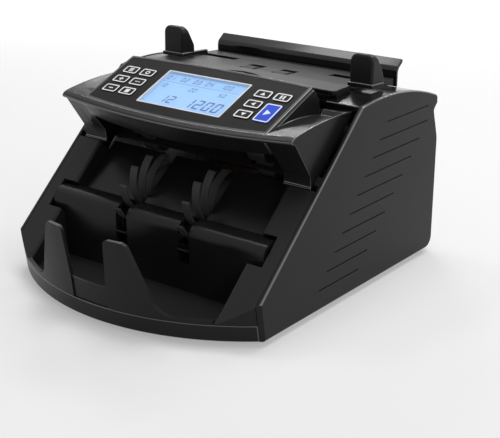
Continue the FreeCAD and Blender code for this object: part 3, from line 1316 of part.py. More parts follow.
def chassis_plate():
    """Right chassis plate with holes for the bearings and the motor shafts."""
    front_z = slant_line_z(CHASSIS_FRONT_Y, CHASSIS_FRONT_T)
    edge = [(CHASSIS_FRONT_Y, BASE_TOP), (CHASSIS_FRONT_Y, front_z, CHASSIS_CORNER),
            slant(CHASSIS_EDGE_S, CHASSIS_EDGE_T),
            (SHOULDER_Y + CHASSIS_SHOULDER_SETBACK, CHASSIS_TOP_Z, CHASSIS_TOP_CORNER),
            (REAR_TOP_Y - CHASSIS_REAR_SETBACK, CHASSIS_TOP_Z, CHASSIS_CORNER),
            (CHASSIS_BACK_Y, CHASSIS_TOP_Z - CHASSIS_REAR_DROP, CHASSIS_CORNER), (CHASSIS_BACK_Y, BASE_TOP)]
    plate = bar_x(edge, CHASSIS_X, CHASSIS_OUT)
    for centre in (FEED, TRANSPORT, PICKUP, STACKER):
        plate = plate.cut(rod_x(*centre, BEARING_RADIUS + BEARING_FIT, CHASSIS_X - OVER, CHASSIS_OUT + OVER))
    for centre in (MOTOR, STACKER_MOTOR):
        hole = MOTOR_SHAFT_RADIUS + SHAFT_CLEARANCE
        plate = plate.cut(rod_x(*centre, hole, CHASSIS_X - OVER, CHASSIS_OUT + OVER))
    return plate


def slant_line_z(y, t):
    """Height of the line at t from the slanted front, at a given y."""
    return SHOULDER_Z + (y - SHOULDER_Y) * math.tan(SLANT) + t / math.cos(SLANT)


def tie_bars():
    return [rod_x(y, z, TIE_BAR_RADIUS, -CHASSIS_X, CHASSIS_X) for y, z in TIE_BARS]


def bearings():
    rings = []
    x0 = CHASSIS_X - BEARING_INSET
    for centre in (FEED, TRANSPORT, PICKUP, STACKER):
        ring = tube_x(*centre, BEARING_RADIUS, SHAFT_RADIUS + RUNNING_FIT, x0, x0 + BEARING_WIDTH)
        rings += [ring, mirrored(ring)]
    return rings


def shaft(centre, x0, x1):
    return rod_x(*centre, SHAFT_RADIUS, x0, x1)


def rollers(centre, radius, width, x):
    ring = tube_x(*centre, radius, SHAFT_RADIUS, x - width / 2, x + width / 2)
    ring = rounded(ring, ROLLER_ROUND,
                   lambda e: hasattr(e.Curve, "Radius") and e.Curve.Radius > radius - 0.01)
    return [ring, mirrored(ring)]


def pulley(centre, radius, x0, bore):
    return tube_x(*centre, radius, bore, x0, x0 + PULLEY_WIDTH)


def loop_wire(a, ra, b, rb, x):
    """Closed line round two circles: two tangents and two outer arcs."""
    lift = yz(x)
    d = (b[0] - a[0], b[1] - a[1])
    length = math.hypot(*d)
    along = math.atan2(d[1], d[0])
    lean = math.acos((ra - rb) / length)

    def on(centre, radius, angle):
        return lift((centre[0] + radius * math.cos(angle), centre[1] + radius * math.sin(angle)))

    up = along + lean
    down = along - lean
    edges = [Part.makeLine(on(a, ra, up), on(b, rb, up)),
             Part.Arc(on(b, rb, up), on(b, rb, along), on(b, rb, down)).toShape(),
             Part.makeLine(on(b, rb, down), on(a, ra, down)),
             Part.Arc(on(a, ra, down), on(a, ra, along + math.pi), on(a, ra, up)).toShape()]
    return Part.Wire(edges)


def belt(a, ra, b, rb, x0):
    x = x0 + (PULLEY_WIDTH - BELT_WIDTH) / 2
    across = vec(BELT_WIDTH, 0, 0)
    lift = BELT_GAP + BELT_THICKNESS
    outer = prism(loop_wire(a, ra + lift, b, rb + lift, x), across)
    return outer.cut(prism(loop_wire(a, ra + BELT_GAP, b, rb + BELT_GAP, x), across))


def motor(centre, radius, length, side):
    """Motor can on the inside of a chassis plate, bored for its shaft."""
    face = CHASSIS_X
    can = rod_x(*centre, radius, face - length, face)
    rear = face - length
    can = rounded(can, MOTOR_ROUND, lambda e: hasattr(e.Curve, "Radius") and e.Vertexes[0].X < rear + 0.01)
    bore = MOTOR_SHAFT_RADIUS + RUNNING_FIT
    end = tube_x(*centre, MOTOR_BOSS_RADIUS, bore, rear - MOTOR_BOSS, rear)
    can = fuse([can, end]).cut(rod_x(*centre, bore, rear - MOTOR_BOSS - OVER, face + OVER))
    return can if side > 0 else mirrored(can)


def motor_pulley(centre, length, x0, side):
    """Motor shaft with its pulley."""
    spindle = rod_x(*centre, MOTOR_SHAFT_RADIUS, CHASSIS_X - length - MOTOR_TAIL, x0 + PULLEY_PITCH)
    wheel = rod_x(*centre, MOTOR_PULLEY_RADIUS, x0, x0 + PULLEY_WIDTH)
    piece = fuse([spindle, wheel])
    return piece if side > 0 else mirrored(piece)


def stacker_wheel():
    """Right stacker wheel: a hub with curved flexible fingers."""
    x0 = WHEEL_X - WHEEL_WIDTH / 2
    hub = rod_x(*STACKER, WHEEL_HUB_RADIUS, x0, x0 + WHEEL_WIDTH)
    lift = yz(x0)
    sweep = math.radians(FINGER_SWEEP_DEG)
    fingers = []
    for i in range(WHEEL_FINGERS):
        turn = 2 * math.pi * i / WHEEL_FINGERS
        inner = WHEEL_HUB_RADIUS - FINGER_ROOT
        middle = (WHEEL_HUB_RADIUS + WHEEL_RADIUS) / 2
        points = []
        for half in (-0.5, 0.5):
            line = []
            for radius, share in ((inner, 0.0), (middle, FINGER_BEND), (WHEEL_RADIUS, 1.0)):
                angle = turn - sweep * share + half * FINGER_THICKNESS / radius
                y = STACKER[0] + radius * math.cos(angle)
                z = STACKER[1] + radius * math.sin(angle)
                line.append(lift((y, z)))
            points.append(line)
        near, far = points
        wire = Part.Wire([Part.Arc(*near).toShape(), Part.makeLine(near[2], far[2]),
                          Part.Arc(*reversed(far)).toShape(), Part.makeLine(far[0], near[0])])
        fingers.append(prism(wire, vec(WHEEL_WIDTH, 0, 0)))
    return fuse([hub] + fingers).cut(rod_x(*STACKER, SHAFT_RADIUS, x0 - OVER, x0 + WHEEL_WIDTH + OVER))


def lower_guide_plate():
    """Plate under the note path, with windows for the feed and transport rollers."""
    plate = slant_bar(LOWER_PLATE_S0, LOWER_PLATE_S1, PATH_T - GUIDE_SHEET, PATH_T, -CHASSIS_X, CHASSIS_X)
    feed = roller_window(FEED_ROLLER_X, FEED_ROLLER_WIDTH, FEED_S, chord(FEED_ROLLER_RADIUS))
    transport = roller_window(TRANSPORT_ROLLER_X, TRANSPORT_ROLLER_WIDTH, TRANSPORT_S,
                              chord(TRANSPORT_ROLLER_RADIUS))
    for window in (feed, mirrored(feed), transport, mirrored(transport)):
        plate = plate.cut(window)
    return plate


def chord(radius):
    """Half length of a roller's slice at the underside of the lower guide plate, with its clearance."""
    depth = radius - ROLLER_PROUD - GUIDE_SHEET
    return math.sqrt(radius ** 2 - depth ** 2) + ROLLER_END_CLEARANCE


def pinch_rollers():
    """Free rollers in the hood that press the notes onto the transport rollers, with their shaft."""
    centre = pinch_centre()
    end = CONSOLE_HALF + PINCH_SHAFT_SEAT
    rod = rod_x(*centre, PINCH_SHAFT_RADIUS, -end, end)
    half = TRANSPORT_ROLLER_WIDTH / 2
    ring = tube_x(*centre, IDLER_RADIUS, PINCH_SHAFT_RADIUS, TRANSPORT_ROLLER_X - half,
                  TRANSPORT_ROLLER_X + half)
    return [rod, ring, mirrored(ring)]


def separation_rollers():
    """Fixed separation rollers over the feed rollers, hung from the hopper plate."""
    centre = retard_centre()
    reach = FEED_ROLLER_X + FEED_ROLLER_WIDTH / 2 + EAR_GAP
    end = reach + EAR_WALL
    rod = rod_x(*centre, RETARD_SHAFT_RADIUS, -end, end)
    half = FEED_ROLLER_WIDTH / 2
    ring = tube_x(*centre, RETARD_RADIUS, RETARD_SHAFT_RADIUS, FEED_ROLLER_X - half, FEED_ROLLER_X + half)
    low = HOPPER_Z - HOPPER_PLATE
    ear = box(reach, end, RETARD_Y - EAR_HALF, RETARD_Y + EAR_HALF, centre[1] - EAR_HALF, low)
    ear = ear.cut(rod_x(*centre, RETARD_SHAFT_RADIUS, 0, HALF))
    return [rod, ring, mirrored(ring), ear, mirrored(ear)]


def main_board():
    """Control board on four standoffs, with its larger parts."""
    low = BASE_TOP + STANDOFF
    x0 = MAIN_BOARD_X - MAIN_BOARD_HALF
    x1 = MAIN_BOARD_X + MAIN_BOARD_HALF
    board = box(x0, x1, MAIN_BOARD_Y0, MAIN_BOARD_Y1, low, low + BOARD_THICKNESS)
    top = low + BOARD_THICKNESS
    parts = []
    for inset_x, inset_y, length, depth, height in (
            (CHIP_INSET_X, CHIP_INSET_Y, CHIP_SIZE, CHIP_SIZE, CHIP_HEIGHT),
            (DRIVER_INSET_X, DRIVER_INSET_Y, DRIVER_LENGTH, DRIVER_DEPTH, CHIP_HEIGHT),
            (PLUG_INSET_X, PLUG_INSET_Y, PLUG_DEPTH, PLUG_LENGTH, PLUG_DEPTH)):
        x = x0 + inset_x
        y = MAIN_BOARD_Y0 + inset_y
        parts.append(box(x, x + length, y, y + depth, top, top + height))
    for i in range(CAPACITOR_COUNT):
        y = MAIN_BOARD_Y0 + CAPACITOR_INSET_Y + i * CAPACITOR_PITCH
        foot = vec(x0 + CAPACITOR_INSET_X, y, top)
        parts.append(Part.makeCylinder(CAPACITOR_RADIUS, CAPACITOR_HEIGHT, foot, Z_AXIS))
    for x in (x0 + STANDOFF_INSET, x1 - STANDOFF_INSET):
        for y in (MAIN_BOARD_Y0 + STANDOFF_INSET, MAIN_BOARD_Y1 - STANDOFF_INSET):
            parts.append(Part.makeCylinder(STANDOFF_RADIUS, STANDOFF, vec(x, y, BASE_TOP), Z_AXIS))
    return fuse([board] + parts)


def transformer():
    """Mains transformer: a laminated core with its winding, on the base."""
    half_x = CORE_LENGTH / 2
    half_y = CORE_DEPTH / 2
    top = BASE_TOP + CORE_HEIGHT
    core = box(TRANSFORMER_X - half_x, TRANSFORMER_X + half_x, TRANSFORMER_Y - half_y, TRANSFORMER_Y + half_y,
               BASE_TOP, top)
    coil = rounded_rect(TRANSFORMER_X, TRANSFORMER_Y, WINDING_LENGTH, WINDING_DEPTH, WINDING_ROUND)
    return fuse([core, bar_z(coil, BASE_TOP + WINDING_GAP, top - WINDING_GAP)])


def power_inlet():
    """Three-pin mains inlet seen from the back, with its flange."""
    body = rear_block(INLET_X, INLET_HALF_X, INLET_HALF_Z, INLET_DEPTH)
    flange = rear_rim(INLET_X, INLET_HALF_X, INLET_HALF_Z, INLET_RIM)
    low = REAR_ROW_Z - INLET_MOUTH_HALF_Z
    top = REAR_ROW_Z + INLET_MOUTH_HALF_Z
    left = INLET_X - INLET_MOUTH_HALF_X
    right = INLET_X + INLET_MOUTH_HALF_X
    mouth = [(left, low), (right, low), (right, top - INLET_CHAMFER), (right - INLET_CHAMFER, top),
             (left + INLET_CHAMFER, top), (left, top - INLET_CHAMFER)]
    floor_y = BACK_Y - INLET_DEPTH + INLET_BACK
    solid = fuse([body, flange]).cut(bar_y(mouth, floor_y, BACK_Y + FLANGE + OVER))
    blades = []
    for step, rise in ((-1, -1), (0, 1), (1, -1)):
        x0 = INLET_X + step * BLADE_PITCH - BLADE_WIDTH / 2
        z0 = REAR_ROW_Z + rise * BLADE_STAGGER - BLADE_HEIGHT / 2
        blades.append(box(x0, x0 + BLADE_WIDTH, floor_y, BACK_Y - BLADE_SHORT, z0, z0 + BLADE_HEIGHT))
    return solid, blades


def rear_block(x, half_x, half_z, depth, proud=0):
    """Body of a fitting, let into its hole in the back cover."""
    width = half_x - FITTING_GAP
    height = half_z - FITTING_GAP
    return box(x - width, x + width, BACK_Y - depth, BACK_Y + proud, REAR_ROW_Z - height, REAR_ROW_Z + height)


def rear_rim(x, half_x, half_z, rim):
    """Flange of a fitting, standing on the back cover round its hole."""
    shape = rounded_rect(x, REAR_ROW_Z, 2 * (half_x + rim), 2 * (half_z + rim), rim)
    return bar_y(shape, BACK_Y, BACK_Y + FLANGE)


def switch_housing():
    body = rear_block(SWITCH_X, SWITCH_HALF_X, SWITCH_HALF_Z, SWITCH_DEPTH)
    solid = fuse([body, rear_rim(SWITCH_X, SWITCH_HALF_X, SWITCH_HALF_Z, SWITCH_RIM)])
    well_x = SWITCH_HALF_X - SWITCH_WALL
    well_z = SWITCH_HALF_Z - SWITCH_WALL
    well = box(SWITCH_X - well_x, SWITCH_X + well_x, BACK_Y - SWITCH_WELL, BACK_Y + FLANGE + OVER,
               REAR_ROW_Z - well_z, REAR_ROW_Z + well_z)
    start = vec(SWITCH_X, BACK_Y - ROCKER_PIN_DROP, REAR_ROW_Z - well_z - SWITCH_WALL / 2)
    pin = Part.makeCylinder(ROCKER_PIN_RADIUS, 2 * well_z + SWITCH_WALL, start, Z_AXIS)
    return solid.cut(well).fuse(pin)


def rocker():
    """Rocker of the power switch, turning on the pin across its housing."""
    swing = math.radians(SWITCH_SWING_DEG)
    face = BACK_Y + FLANGE
    half = SWITCH_HALF_X - SWITCH_WALL - ROCKER_GAP - (FLANGE + ROCKER_PIN_DROP) * math.sin(swing)
    rise = half * math.tan(swing / 2)
    low = BACK_Y - ROCKER_PIN_DROP - 2 * ROCKER_PIN_RADIUS
    foot = half - ROCKER_TAPER
    points = [(SWITCH_X - foot, low), (SWITCH_X + foot, low),
              (SWITCH_X + half, face + rise - ROCKER_HIGH_DROP),
              (SWITCH_X, face - ROCKER_MIDDLE_DROP), (SWITCH_X - half, face - rise - ROCKER_LOW_DROP)]
    half_z = SWITCH_HALF_Z - SWITCH_WALL - ROCKER_GAP
    solid = bar_z(points, REAR_ROW_Z - half_z, REAR_ROW_Z + half_z)
    start = vec(SWITCH_X, BACK_Y - ROCKER_PIN_DROP, REAR_ROW_Z - 2 * SWITCH_HALF_Z)
    return solid.cut(Part.makeCylinder(ROCKER_PIN_RADIUS + RUNNING_FIT, 4 * SWITCH_HALF_Z, start, Z_AXIS))


def fuse_holder():
    start = vec(FUSE_X, BACK_Y - FUSE_DEPTH, REAR_ROW_Z)
    body = Part.makeCylinder(FUSE_RADIUS - FITTING_GAP, FUSE_DEPTH, start, Y_AXIS)
    cap = Part.makeCylinder(FUSE_RADIUS + FUSE_RIM, FLANGE, vec(FUSE_X, BACK_Y, REAR_ROW_Z), Y_AXIS)
    face = BACK_Y + FLANGE
    half_x = FUSE_SLOT_LENGTH / 2
    half_z = FUSE_SLOT_WIDTH / 2
    slot = box(FUSE_X - half_x, FUSE_X + half_x, face - FUSE_SLOT_DEPTH, face + OVER, REAR_ROW_Z - half_z,
               REAR_ROW_Z + half_z)
    return fuse([body, cap]).cut(slot)


def display_socket():
    """Socket for an outside display."""
    body = rear_block(SOCKET_X, SOCKET_HALF_X, SOCKET_HALF_Z, SOCKET_DEPTH, SOCKET_PROUD)
    width = SOCKET_HALF_X - SOCKET_WALL
    mouth = box(SOCKET_X - width, SOCKET_X + width, BACK_Y - SOCKET_DEPTH + SOCKET_BACK, BACK_Y + OVER,
                REAR_ROW_Z - SOCKET_HALF_Z + SOCKET_FLOOR, REAR_ROW_Z + SOCKET_HALF_Z - SOCKET_TOP)
    return body.cut(mouth)


def feet():
    """Four rubber feet under the base."""
    pads = []
    for x in (-HALF + FOOT_INSET_X, HALF - FOOT_INSET_X):
        for y in (FOOT_FRONT_Y, FOOT_REAR_Y):
            pad = Part.makeCone(FOOT_RADIUS - FOOT_TAPER, FOOT_RADIUS, FOOT_HEIGHT, vec(x, y, 0), Z_AXIS)
            pads.append(pad)
    return pads


def sensor_boards():
    """Sensor strips above and below the note path."""
    reach = FEED_ROLLER_X + FEED_ROLLER_WIDTH / 2
    top = -HOOD_CHANNEL - UPPER_PLATE_DROP
    above = slant_bar(UPPER_SENSOR_S, UPPER_SENSOR_S + UPPER_SENSOR_LENGTH, top, top + BOARD_THICKNESS,
                      -reach, reach)
    low = PATH_T - GUIDE_SHEET
    below = slant_bar(LOWER_SENSOR_S, LOWER_SENSOR_S + LOWER_SENSOR_LENGTH, low - BOARD_THICKNESS, low,
                      -reach, reach)
    return above, below


def rear_screws():
    """Screws through the back cover into the side panels' posts."""
    screws = []
    half_x = SCREW_SLOT / 2
    half_z = SCREW_SLOT_WIDTH / 2
    face = BACK_Y + SCREW_HEAD
    for x in (SCREW_INSET - INNER, INNER - SCREW_INSET):
        for z in (SCREW_LOW_Z, BACK_STRAIGHT_TOP - SCREW_TOP_DROP):
            head = Part.makeCylinder(SCREW_HEAD_RADIUS, SCREW_HEAD, vec(x, BACK_Y, z), Y_AXIS)
            slot = box(x - half_x, x + half_x, face - SCREW_SLOT_DEPTH, face + OVER, z - half_z, z + half_z)
            screws.append(head.cut(slot))
    return screws


keep("base_pan", base_pan())
keep("front_apron", front_apron())
panel = side_panel()
keep("right_side_panel", panel)
keep("left_side_panel", mirrored(panel))
keep("stop_plate", stop_plate())
right_arm = arm()
keep("right_front_arm", right_arm)
keep("left_front_arm", mirrored(right_arm))
keep("tray_floor", tray_floor())
keep("stacker_plate", stacker_plate())
keep("top_cover", top_cover())
keep("rear_cover", rear_cover())
keep("hopper_plate", hopper_plate())
keep("hopper_floor", hopper_floor())
keep("hopper_support", hopper_support())
guide = note_guide()
keep("right_note_guide", guide)
keep("left_note_guide", mirrored(guide))

keep("hood_shell", hood_shell())
keep("hood_hinge_pins", *hinge_pins())
keep("console_bezel", console_bezel())
keep("console_panel", console_panel())
keep("lcd_frame", lcd_frame())
keep("lcd_window", lcd_window())
keep("lcd_module", lcd_module())
above, below = sensor_boards()
keep("hood_boards", keypad_board(-1), keypad_board(1), above)
for name, x, v, height in key_places():
    keep(name, key(x, v, height))
keep("upper_guide_plate", upper_guide_plate())
keep("pinch_rollers", *pinch_rollers())

plate = chassis_plate()
keep("chassis_plates", plate, mirrored(plate))
keep("cross_rods", guide_rail(), *tie_bars())
keep("shaft_bearings", *bearings())
keep("lower_guide_plate", lower_guide_plate())
keep("feed_rollers", *rollers(FEED, FEED_ROLLER_RADIUS, FEED_ROLLER_WIDTH, FEED_ROLLER_X))
keep("feed_shaft", shaft(FEED, -PULLEY_INNER_X - PULLEY_PITCH, PULLEY_OUTER_X + PULLEY_WIDTH),
     pulley(FEED, FEED_PULLEY_RADIUS, PULLEY_INNER_X, SHAFT_RADIUS),
     pulley(FEED, SIDE_PULLEY_RADIUS, PULLEY_OUTER_X, SHAFT_RADIUS),
     mirrored(pulley(FEED, SIDE_PULLEY_RADIUS, PULLEY_INNER_X, SHAFT_RADIUS)))
keep("transport_rollers", shaft(TRANSPORT, -PULLEY_INNER_X - PULLEY_PITCH, SHAFT_END),
     mirrored(pulley(TRANSPORT, SIDE_PULLEY_RADIUS, PULLEY_INNER_X, SHAFT_RADIUS)),
     *rollers(TRANSPORT, TRANSPORT_ROLLER_RADIUS, TRANSPORT_ROLLER_WIDTH, TRANSPORT_ROLLER_X))
keep("pickup_rollers", shaft(PICKUP, -SHAFT_END, PULLEY_OUTER_X + PULLEY_WIDTH),
     pulley(PICKUP, SIDE_PULLEY_RADIUS, PULLEY_OUTER_X, SHAFT_RADIUS),
     *rollers(PICKUP, PICKUP_ROLLER_RADIUS, PICKUP_ROLLER_WIDTH, PICKUP_ROLLER_X))
keep("stacker_shaft", shaft(STACKER, -PULLEY_INNER_X - PULLEY_PITCH, SHAFT_END),
     mirrored(pulley(STACKER, STACKER_PULLEY_RADIUS, PULLEY_INNER_X, SHAFT_RADIUS)))
wheel = stacker_wheel()
keep("stacker_wheels", wheel, mirrored(wheel))
keep("motors", motor(MOTOR, MOTOR_RADIUS, MOTOR_LENGTH, 1),
     motor(STACKER_MOTOR, STACKER_MOTOR_RADIUS, STACKER_MOTOR_LENGTH, -1))
keep("main_motor_pulley", motor_pulley(MOTOR, MOTOR_LENGTH, PULLEY_INNER_X, 1))
keep("stacker_motor_pulley", motor_pulley(STACKER_MOTOR, STACKER_MOTOR_LENGTH, PULLEY_INNER_X, -1))
keep("drive_belts", belt(MOTOR, MOTOR_PULLEY_RADIUS, FEED, FEED_PULLEY_RADIUS, PULLEY_INNER_X),
     belt(FEED, SIDE_PULLEY_RADIUS, PICKUP, SIDE_PULLEY_RADIUS, PULLEY_OUTER_X),
     mirrored(belt(FEED, SIDE_PULLEY_RADIUS, TRANSPORT, SIDE_PULLEY_RADIUS, PULLEY_INNER_X)),
     mirrored(belt(STACKER_MOTOR, MOTOR_PULLEY_RADIUS, STACKER, STACKER_PULLEY_RADIUS, PULLEY_INNER_X)))
keep("separation_rollers", *separation_rollers())

keep("control_boards", main_board(), below)
keep("transformer", transformer())
inlet, blades = power_inlet()
keep("power_inlet", inlet, *blades)
keep("rear_fittings", switch_housing(), fuse_holder(), display_socket())
keep("power_rocker", rocker())
keep("rubber_feet", *feet())
keep("rear_screws", *rear_screws())
write_pieces()
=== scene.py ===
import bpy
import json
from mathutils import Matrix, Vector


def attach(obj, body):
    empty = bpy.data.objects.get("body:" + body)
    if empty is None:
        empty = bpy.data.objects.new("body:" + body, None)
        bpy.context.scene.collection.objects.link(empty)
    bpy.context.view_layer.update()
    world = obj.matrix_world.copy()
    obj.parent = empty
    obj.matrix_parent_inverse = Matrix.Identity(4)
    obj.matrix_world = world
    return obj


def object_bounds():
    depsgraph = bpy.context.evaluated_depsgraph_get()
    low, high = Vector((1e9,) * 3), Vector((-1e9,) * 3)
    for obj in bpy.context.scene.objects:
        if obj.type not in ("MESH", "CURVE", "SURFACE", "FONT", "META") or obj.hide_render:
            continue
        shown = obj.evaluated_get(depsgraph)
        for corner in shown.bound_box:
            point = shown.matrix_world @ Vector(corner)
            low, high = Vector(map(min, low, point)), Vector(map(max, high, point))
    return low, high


bl_info = {
    "name": "Banknote counter finishes",
    "version": (1, 0, 0),
    "blender": (4, 5, 0),
    "location": "3D View > Sidebar > Counter",
    "description": "Finishes, console print, display and studio for a banknote counting machine",
    "category": "Material",
}

import json
import math
from functools import cached_property

import bmesh
import bpy
from mathutils import Matrix, Vector

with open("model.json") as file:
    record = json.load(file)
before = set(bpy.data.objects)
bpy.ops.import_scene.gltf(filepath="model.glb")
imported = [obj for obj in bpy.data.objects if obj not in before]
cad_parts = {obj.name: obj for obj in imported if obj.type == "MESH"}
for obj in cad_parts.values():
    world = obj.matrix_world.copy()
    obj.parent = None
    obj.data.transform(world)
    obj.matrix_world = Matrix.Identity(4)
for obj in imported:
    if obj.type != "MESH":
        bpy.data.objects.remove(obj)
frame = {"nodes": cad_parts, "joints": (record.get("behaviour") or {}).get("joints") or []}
CAD_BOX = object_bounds()
MM = 0.001
BLACK = (0.0, 0.0, 0.0, 1.0)
WHITE = (1.0, 1.0, 1.0, 1.0)
RIGHT = Vector((1, 0, 0))
# Kinds of rays that see the floor and the world as white.
SHOWN_TO = ("Is Camera Ray", "Is Transmission Ray", "Is Glossy Ray")


# Shader arithmetic

class Field:
    """A shader value that takes part in Python arithmetic."""

    def __init__(self, graph, socket):
        self.graph = graph
        self.socket = socket

    def __add__(self, other):
        return self.graph.maths("ADD", self, other)

    def __sub__(self, other):
        return self.graph.maths("SUBTRACT", self, other)

    def __rsub__(self, other):
        return self.graph.maths("SUBTRACT", other, self)

    def __mul__(self, other):
        return self.graph.maths("MULTIPLY", self, other)

    def __truediv__(self, other):
        return self.graph.maths("DIVIDE", self, other)

    __radd__ = __add__
    __rmul__ = __mul__

    def ease(self, low, high):
        """Smooth step from 0 at low to 1 at high."""
        return self.graph.node("ShaderNodeMapRange", {"interpolation_type": "SMOOTHSTEP"},
                               {"Value": self, "From Min": low, "From Max": high})


class Graph:
    """Builds the nodes of one material, or of a world."""

    def __init__(self, name, kind="materials"):
        self.owner = getattr(bpy.data, kind).new(name)
        self.owner.use_nodes = True
        self.tree = self.owner.node_tree
        self.tree.nodes.clear()

    def node(self, kind, settings=None, inputs=None, output=0):
        """Add a node, set it up, feed its inputs and return one of its outputs."""
        made = self.tree.nodes.new(kind)
        for key, value in (settings or {}).items():
            setattr(made, key, value)
        for key, value in (inputs or {}).items():
            self.feed(made.inputs[key], value)
        return Field(self, made.outputs[output]) if len(made.outputs) else None

    def feed(self, socket, value):
        """Link a field to a socket, or set the socket to a constant."""
        if isinstance(value, Field):
            self.tree.links.new(value.socket, socket)
        else:
            socket.default_value = value

    def maths(self, operation, a, b):
        """Work out one step of an expression."""
        return self.node("ShaderNodeMath", {"operation": operation}, {0: a, 1: b})

    @cached_property
    def point(self):
        """Place on the object, in metres."""
        return self.node("ShaderNodeTexCoord", output="Object")

    def noise(self, scale, detail=2.0, stretch=(1, 1, 1), roughness=0.5):
        """Noise with features about 1 / scale metres wide, stretched along some axes."""
        place = self.node("ShaderNodeMapping", inputs={"Vector": self.point, "Scale": stretch})
        return self.node("ShaderNodeTexNoise", inputs={"Vector": place, "Scale": scale, "Detail": detail,
                                                       "Roughness": roughness})

    def speckle(self, scale):
        """Distance from scattered cell centres about 1 / scale metres apart."""
        return self.node("ShaderNodeTexVoronoi", inputs={"Vector": self.point, "Scale": scale})

    def along(self, origin, direction):
        """Distance from origin along a direction."""
        offset = self.node("ShaderNodeVectorMath", {"operation": "SUBTRACT"}, {0: self.point, 1: origin},
                           output="Vector")
        return self.node("ShaderNodeVectorMath", {"operation": "DOT_PRODUCT"}, {0: offset, 1: direction},
                         output="Value")

    def axis(self, name):
        """One coordinate of the place on the object."""
        return self.node("ShaderNodeSeparateXYZ", inputs={"Vector": self.point}, output=name)

    def shown(self):
        """1 for rays that look at a surface or the world, 0 for the light that it throws on the machine."""
        rays = [self.node("ShaderNodeLightPath", output=kind) for kind in SHOWN_TO]
        return (rays[0] + rays[1] + rays[2]).ease(0.0, 1.0)

    def blend(self, share, a, b):
        """Colour a at 0 and b at 1."""
        return self.node("ShaderNodeMix", {"data_type": "RGBA"}, {0: share, 6: a, 7: b}, output=2)

    def tones(self, share, colour, dark, pale):
        """A colour times dark at 0 and times pale at 1."""
        return self.blend(share, shade(colour, dark), shade(colour, pale))

    def bump(self, height, strength, depth):
        """Normal of a surface that a height makes uneven."""
        return self.node("ShaderNodeBump", inputs={"Height": height, "Strength": strength, "Distance": depth})

    def surface(self, **sockets):
        """Finish the material with the shader's sockets, named with spaces as underscores."""
        inputs = {key.replace("_", " "): value for key, value in sockets.items()}
        shader = self.node("ShaderNodeBsdfPrincipled", inputs=inputs)
        self.node("ShaderNodeOutputMaterial", inputs={"Surface": shader})
        return self.owner


def shade(colour, factor):
    """A colour made darker or paler."""
    return (*[min(1.0, c * factor) for c in colour[:3]], 1.0)


# Finishes

PLASTIC_IOR = 1.5
# Depths below the console's face between which the display cell starts to glow.
CELL_FACE = (-3.0 * MM, -2.6 * MM)
# Reach of the glow from the middle of the display.
GLOW_WIDTH = 60 * MM
GLOW_HEIGHT = 34.64 * MM
GLOW_FADE = 2.2


def moulded_plastic(name, colour, roughness):
    """Satin plastic with a spark-eroded grain, slight flow marks and haze."""
    g = Graph(name)
    spark = g.noise(2600, detail=3.0, roughness=0.7)
    flow = g.noise(7, detail=3.0)
    haze = g.noise(60, detail=4.0)
    tone = g.tones(flow.ease(0.3, 0.7), colour, dark=0.9, pale=1.12)
    gloss = roughness + (flow - 0.5) * 0.08 + (haze - 0.5) * 0.07
    grain = g.bump(spark, strength=0.25, depth=0.12 * MM)
    return g.surface(Base_Color=tone, Roughness=gloss, Normal=grain, IOR=PLASTIC_IOR, Specular_IOR_Level=0.15)


def polished_plastic(name, colour):
    """Mirror-moulded black plastic with faint wipe marks and specks of dust."""
    g = Graph(name)
    wipes = g.noise(90, detail=4.0, stretch=(1, 9, 1))
    dust = 1 - g.speckle(420).ease(0.04, 0.09)
    waves = g.noise(30, detail=1.0)
    tone = g.tones(dust * 0.25, colour, dark=1.0, pale=5.0)
    gloss = 0.16 + (wipes - 0.5) * 0.10 + dust * 0.2
    ripple = g.bump(waves, strength=0.05, depth=0.6 * MM)
    return g.surface(Base_Color=tone, Roughness=gloss, Normal=ripple, IOR=PLASTIC_IOR,
                     Specular_IOR_Level=0.25, Coat_Weight=0.12, Coat_Roughness=0.08)


def rubbed_highlight_edge(name, colour, roughness=0.16):
    """Plastic rubbed smooth along an edge, with a painted highlight: paler colour and stronger reflection
    than the body.
    """
    g = Graph(name)
    rubs = g.noise(140, detail=4.0)
    # Painted highlight: the edge's colour is 1.5 to 2.5 times paler than the colour it is given.
    tone = g.tones(rubs.ease(0.3, 0.7), colour, dark=1.5, pale=2.5)
    gloss = roughness + (rubs - 0.5) * 0.10
    return g.surface(Base_Color=tone, Roughness=gloss, IOR=PLASTIC_IOR, Specular_IOR_Level=0.9,
                     Coat_Weight=0.6, Coat_Roughness=0.2)


def printed_film(name, colour):
    """Dark printed polyester film with a very fine lay."""
    g = Graph(name)
    lay = g.noise(900, stretch=(0.08, 1, 1))
    cloud = g.noise(20, detail=3.0)
    tone = g.tones(cloud.ease(0.3, 0.7), colour, dark=0.92, pale=1.1)
    gloss = 0.32 + (lay - 0.5) * 0.12
    lines = g.bump(lay, strength=0.08, depth=0.05 * MM)
    return g.surface(Base_Color=tone, Roughness=gloss, Normal=lines, Specular_IOR_Level=0.05)


def ink(name, colour, roughness=0.45):
    """Opaque screen-print ink, slightly uneven."""
    g = Graph(name)
    uneven = g.noise(700)
    tone = g.tones(uneven.ease(0.3, 0.7), colour, dark=0.93, pale=1.0)
    return g.surface(Base_Color=tone, Roughness=roughness + (uneven - 0.5) * 0.1)


def lit_glass(name, colour, bright, front):
    """Backlit display cell: glows on its front face, a little brighter towards the middle."""
    g = Graph(name)
    origin, right, up, out = front
    face = g.along(origin, out).ease(*CELL_FACE)
    across = g.along(origin, right) / GLOW_WIDTH
    rise = g.along(origin, up) / GLOW_HEIGHT
    middle = 1 - (across * across + rise * rise).ease(0.0, GLOW_FADE)
    pixels = g.noise(2500, detail=1.0)
    glow = g.tones(middle * 0.75 + pixels * 0.1, colour, dark=0.78, pale=1.06)
    lit = g.blend(face, BLACK, glow)
    return g.surface(Base_Color=shade(colour, 0.35), Roughness=0.4 + pixels * 0.1, Emission_Color=lit,
                     Emission_Strength=bright)


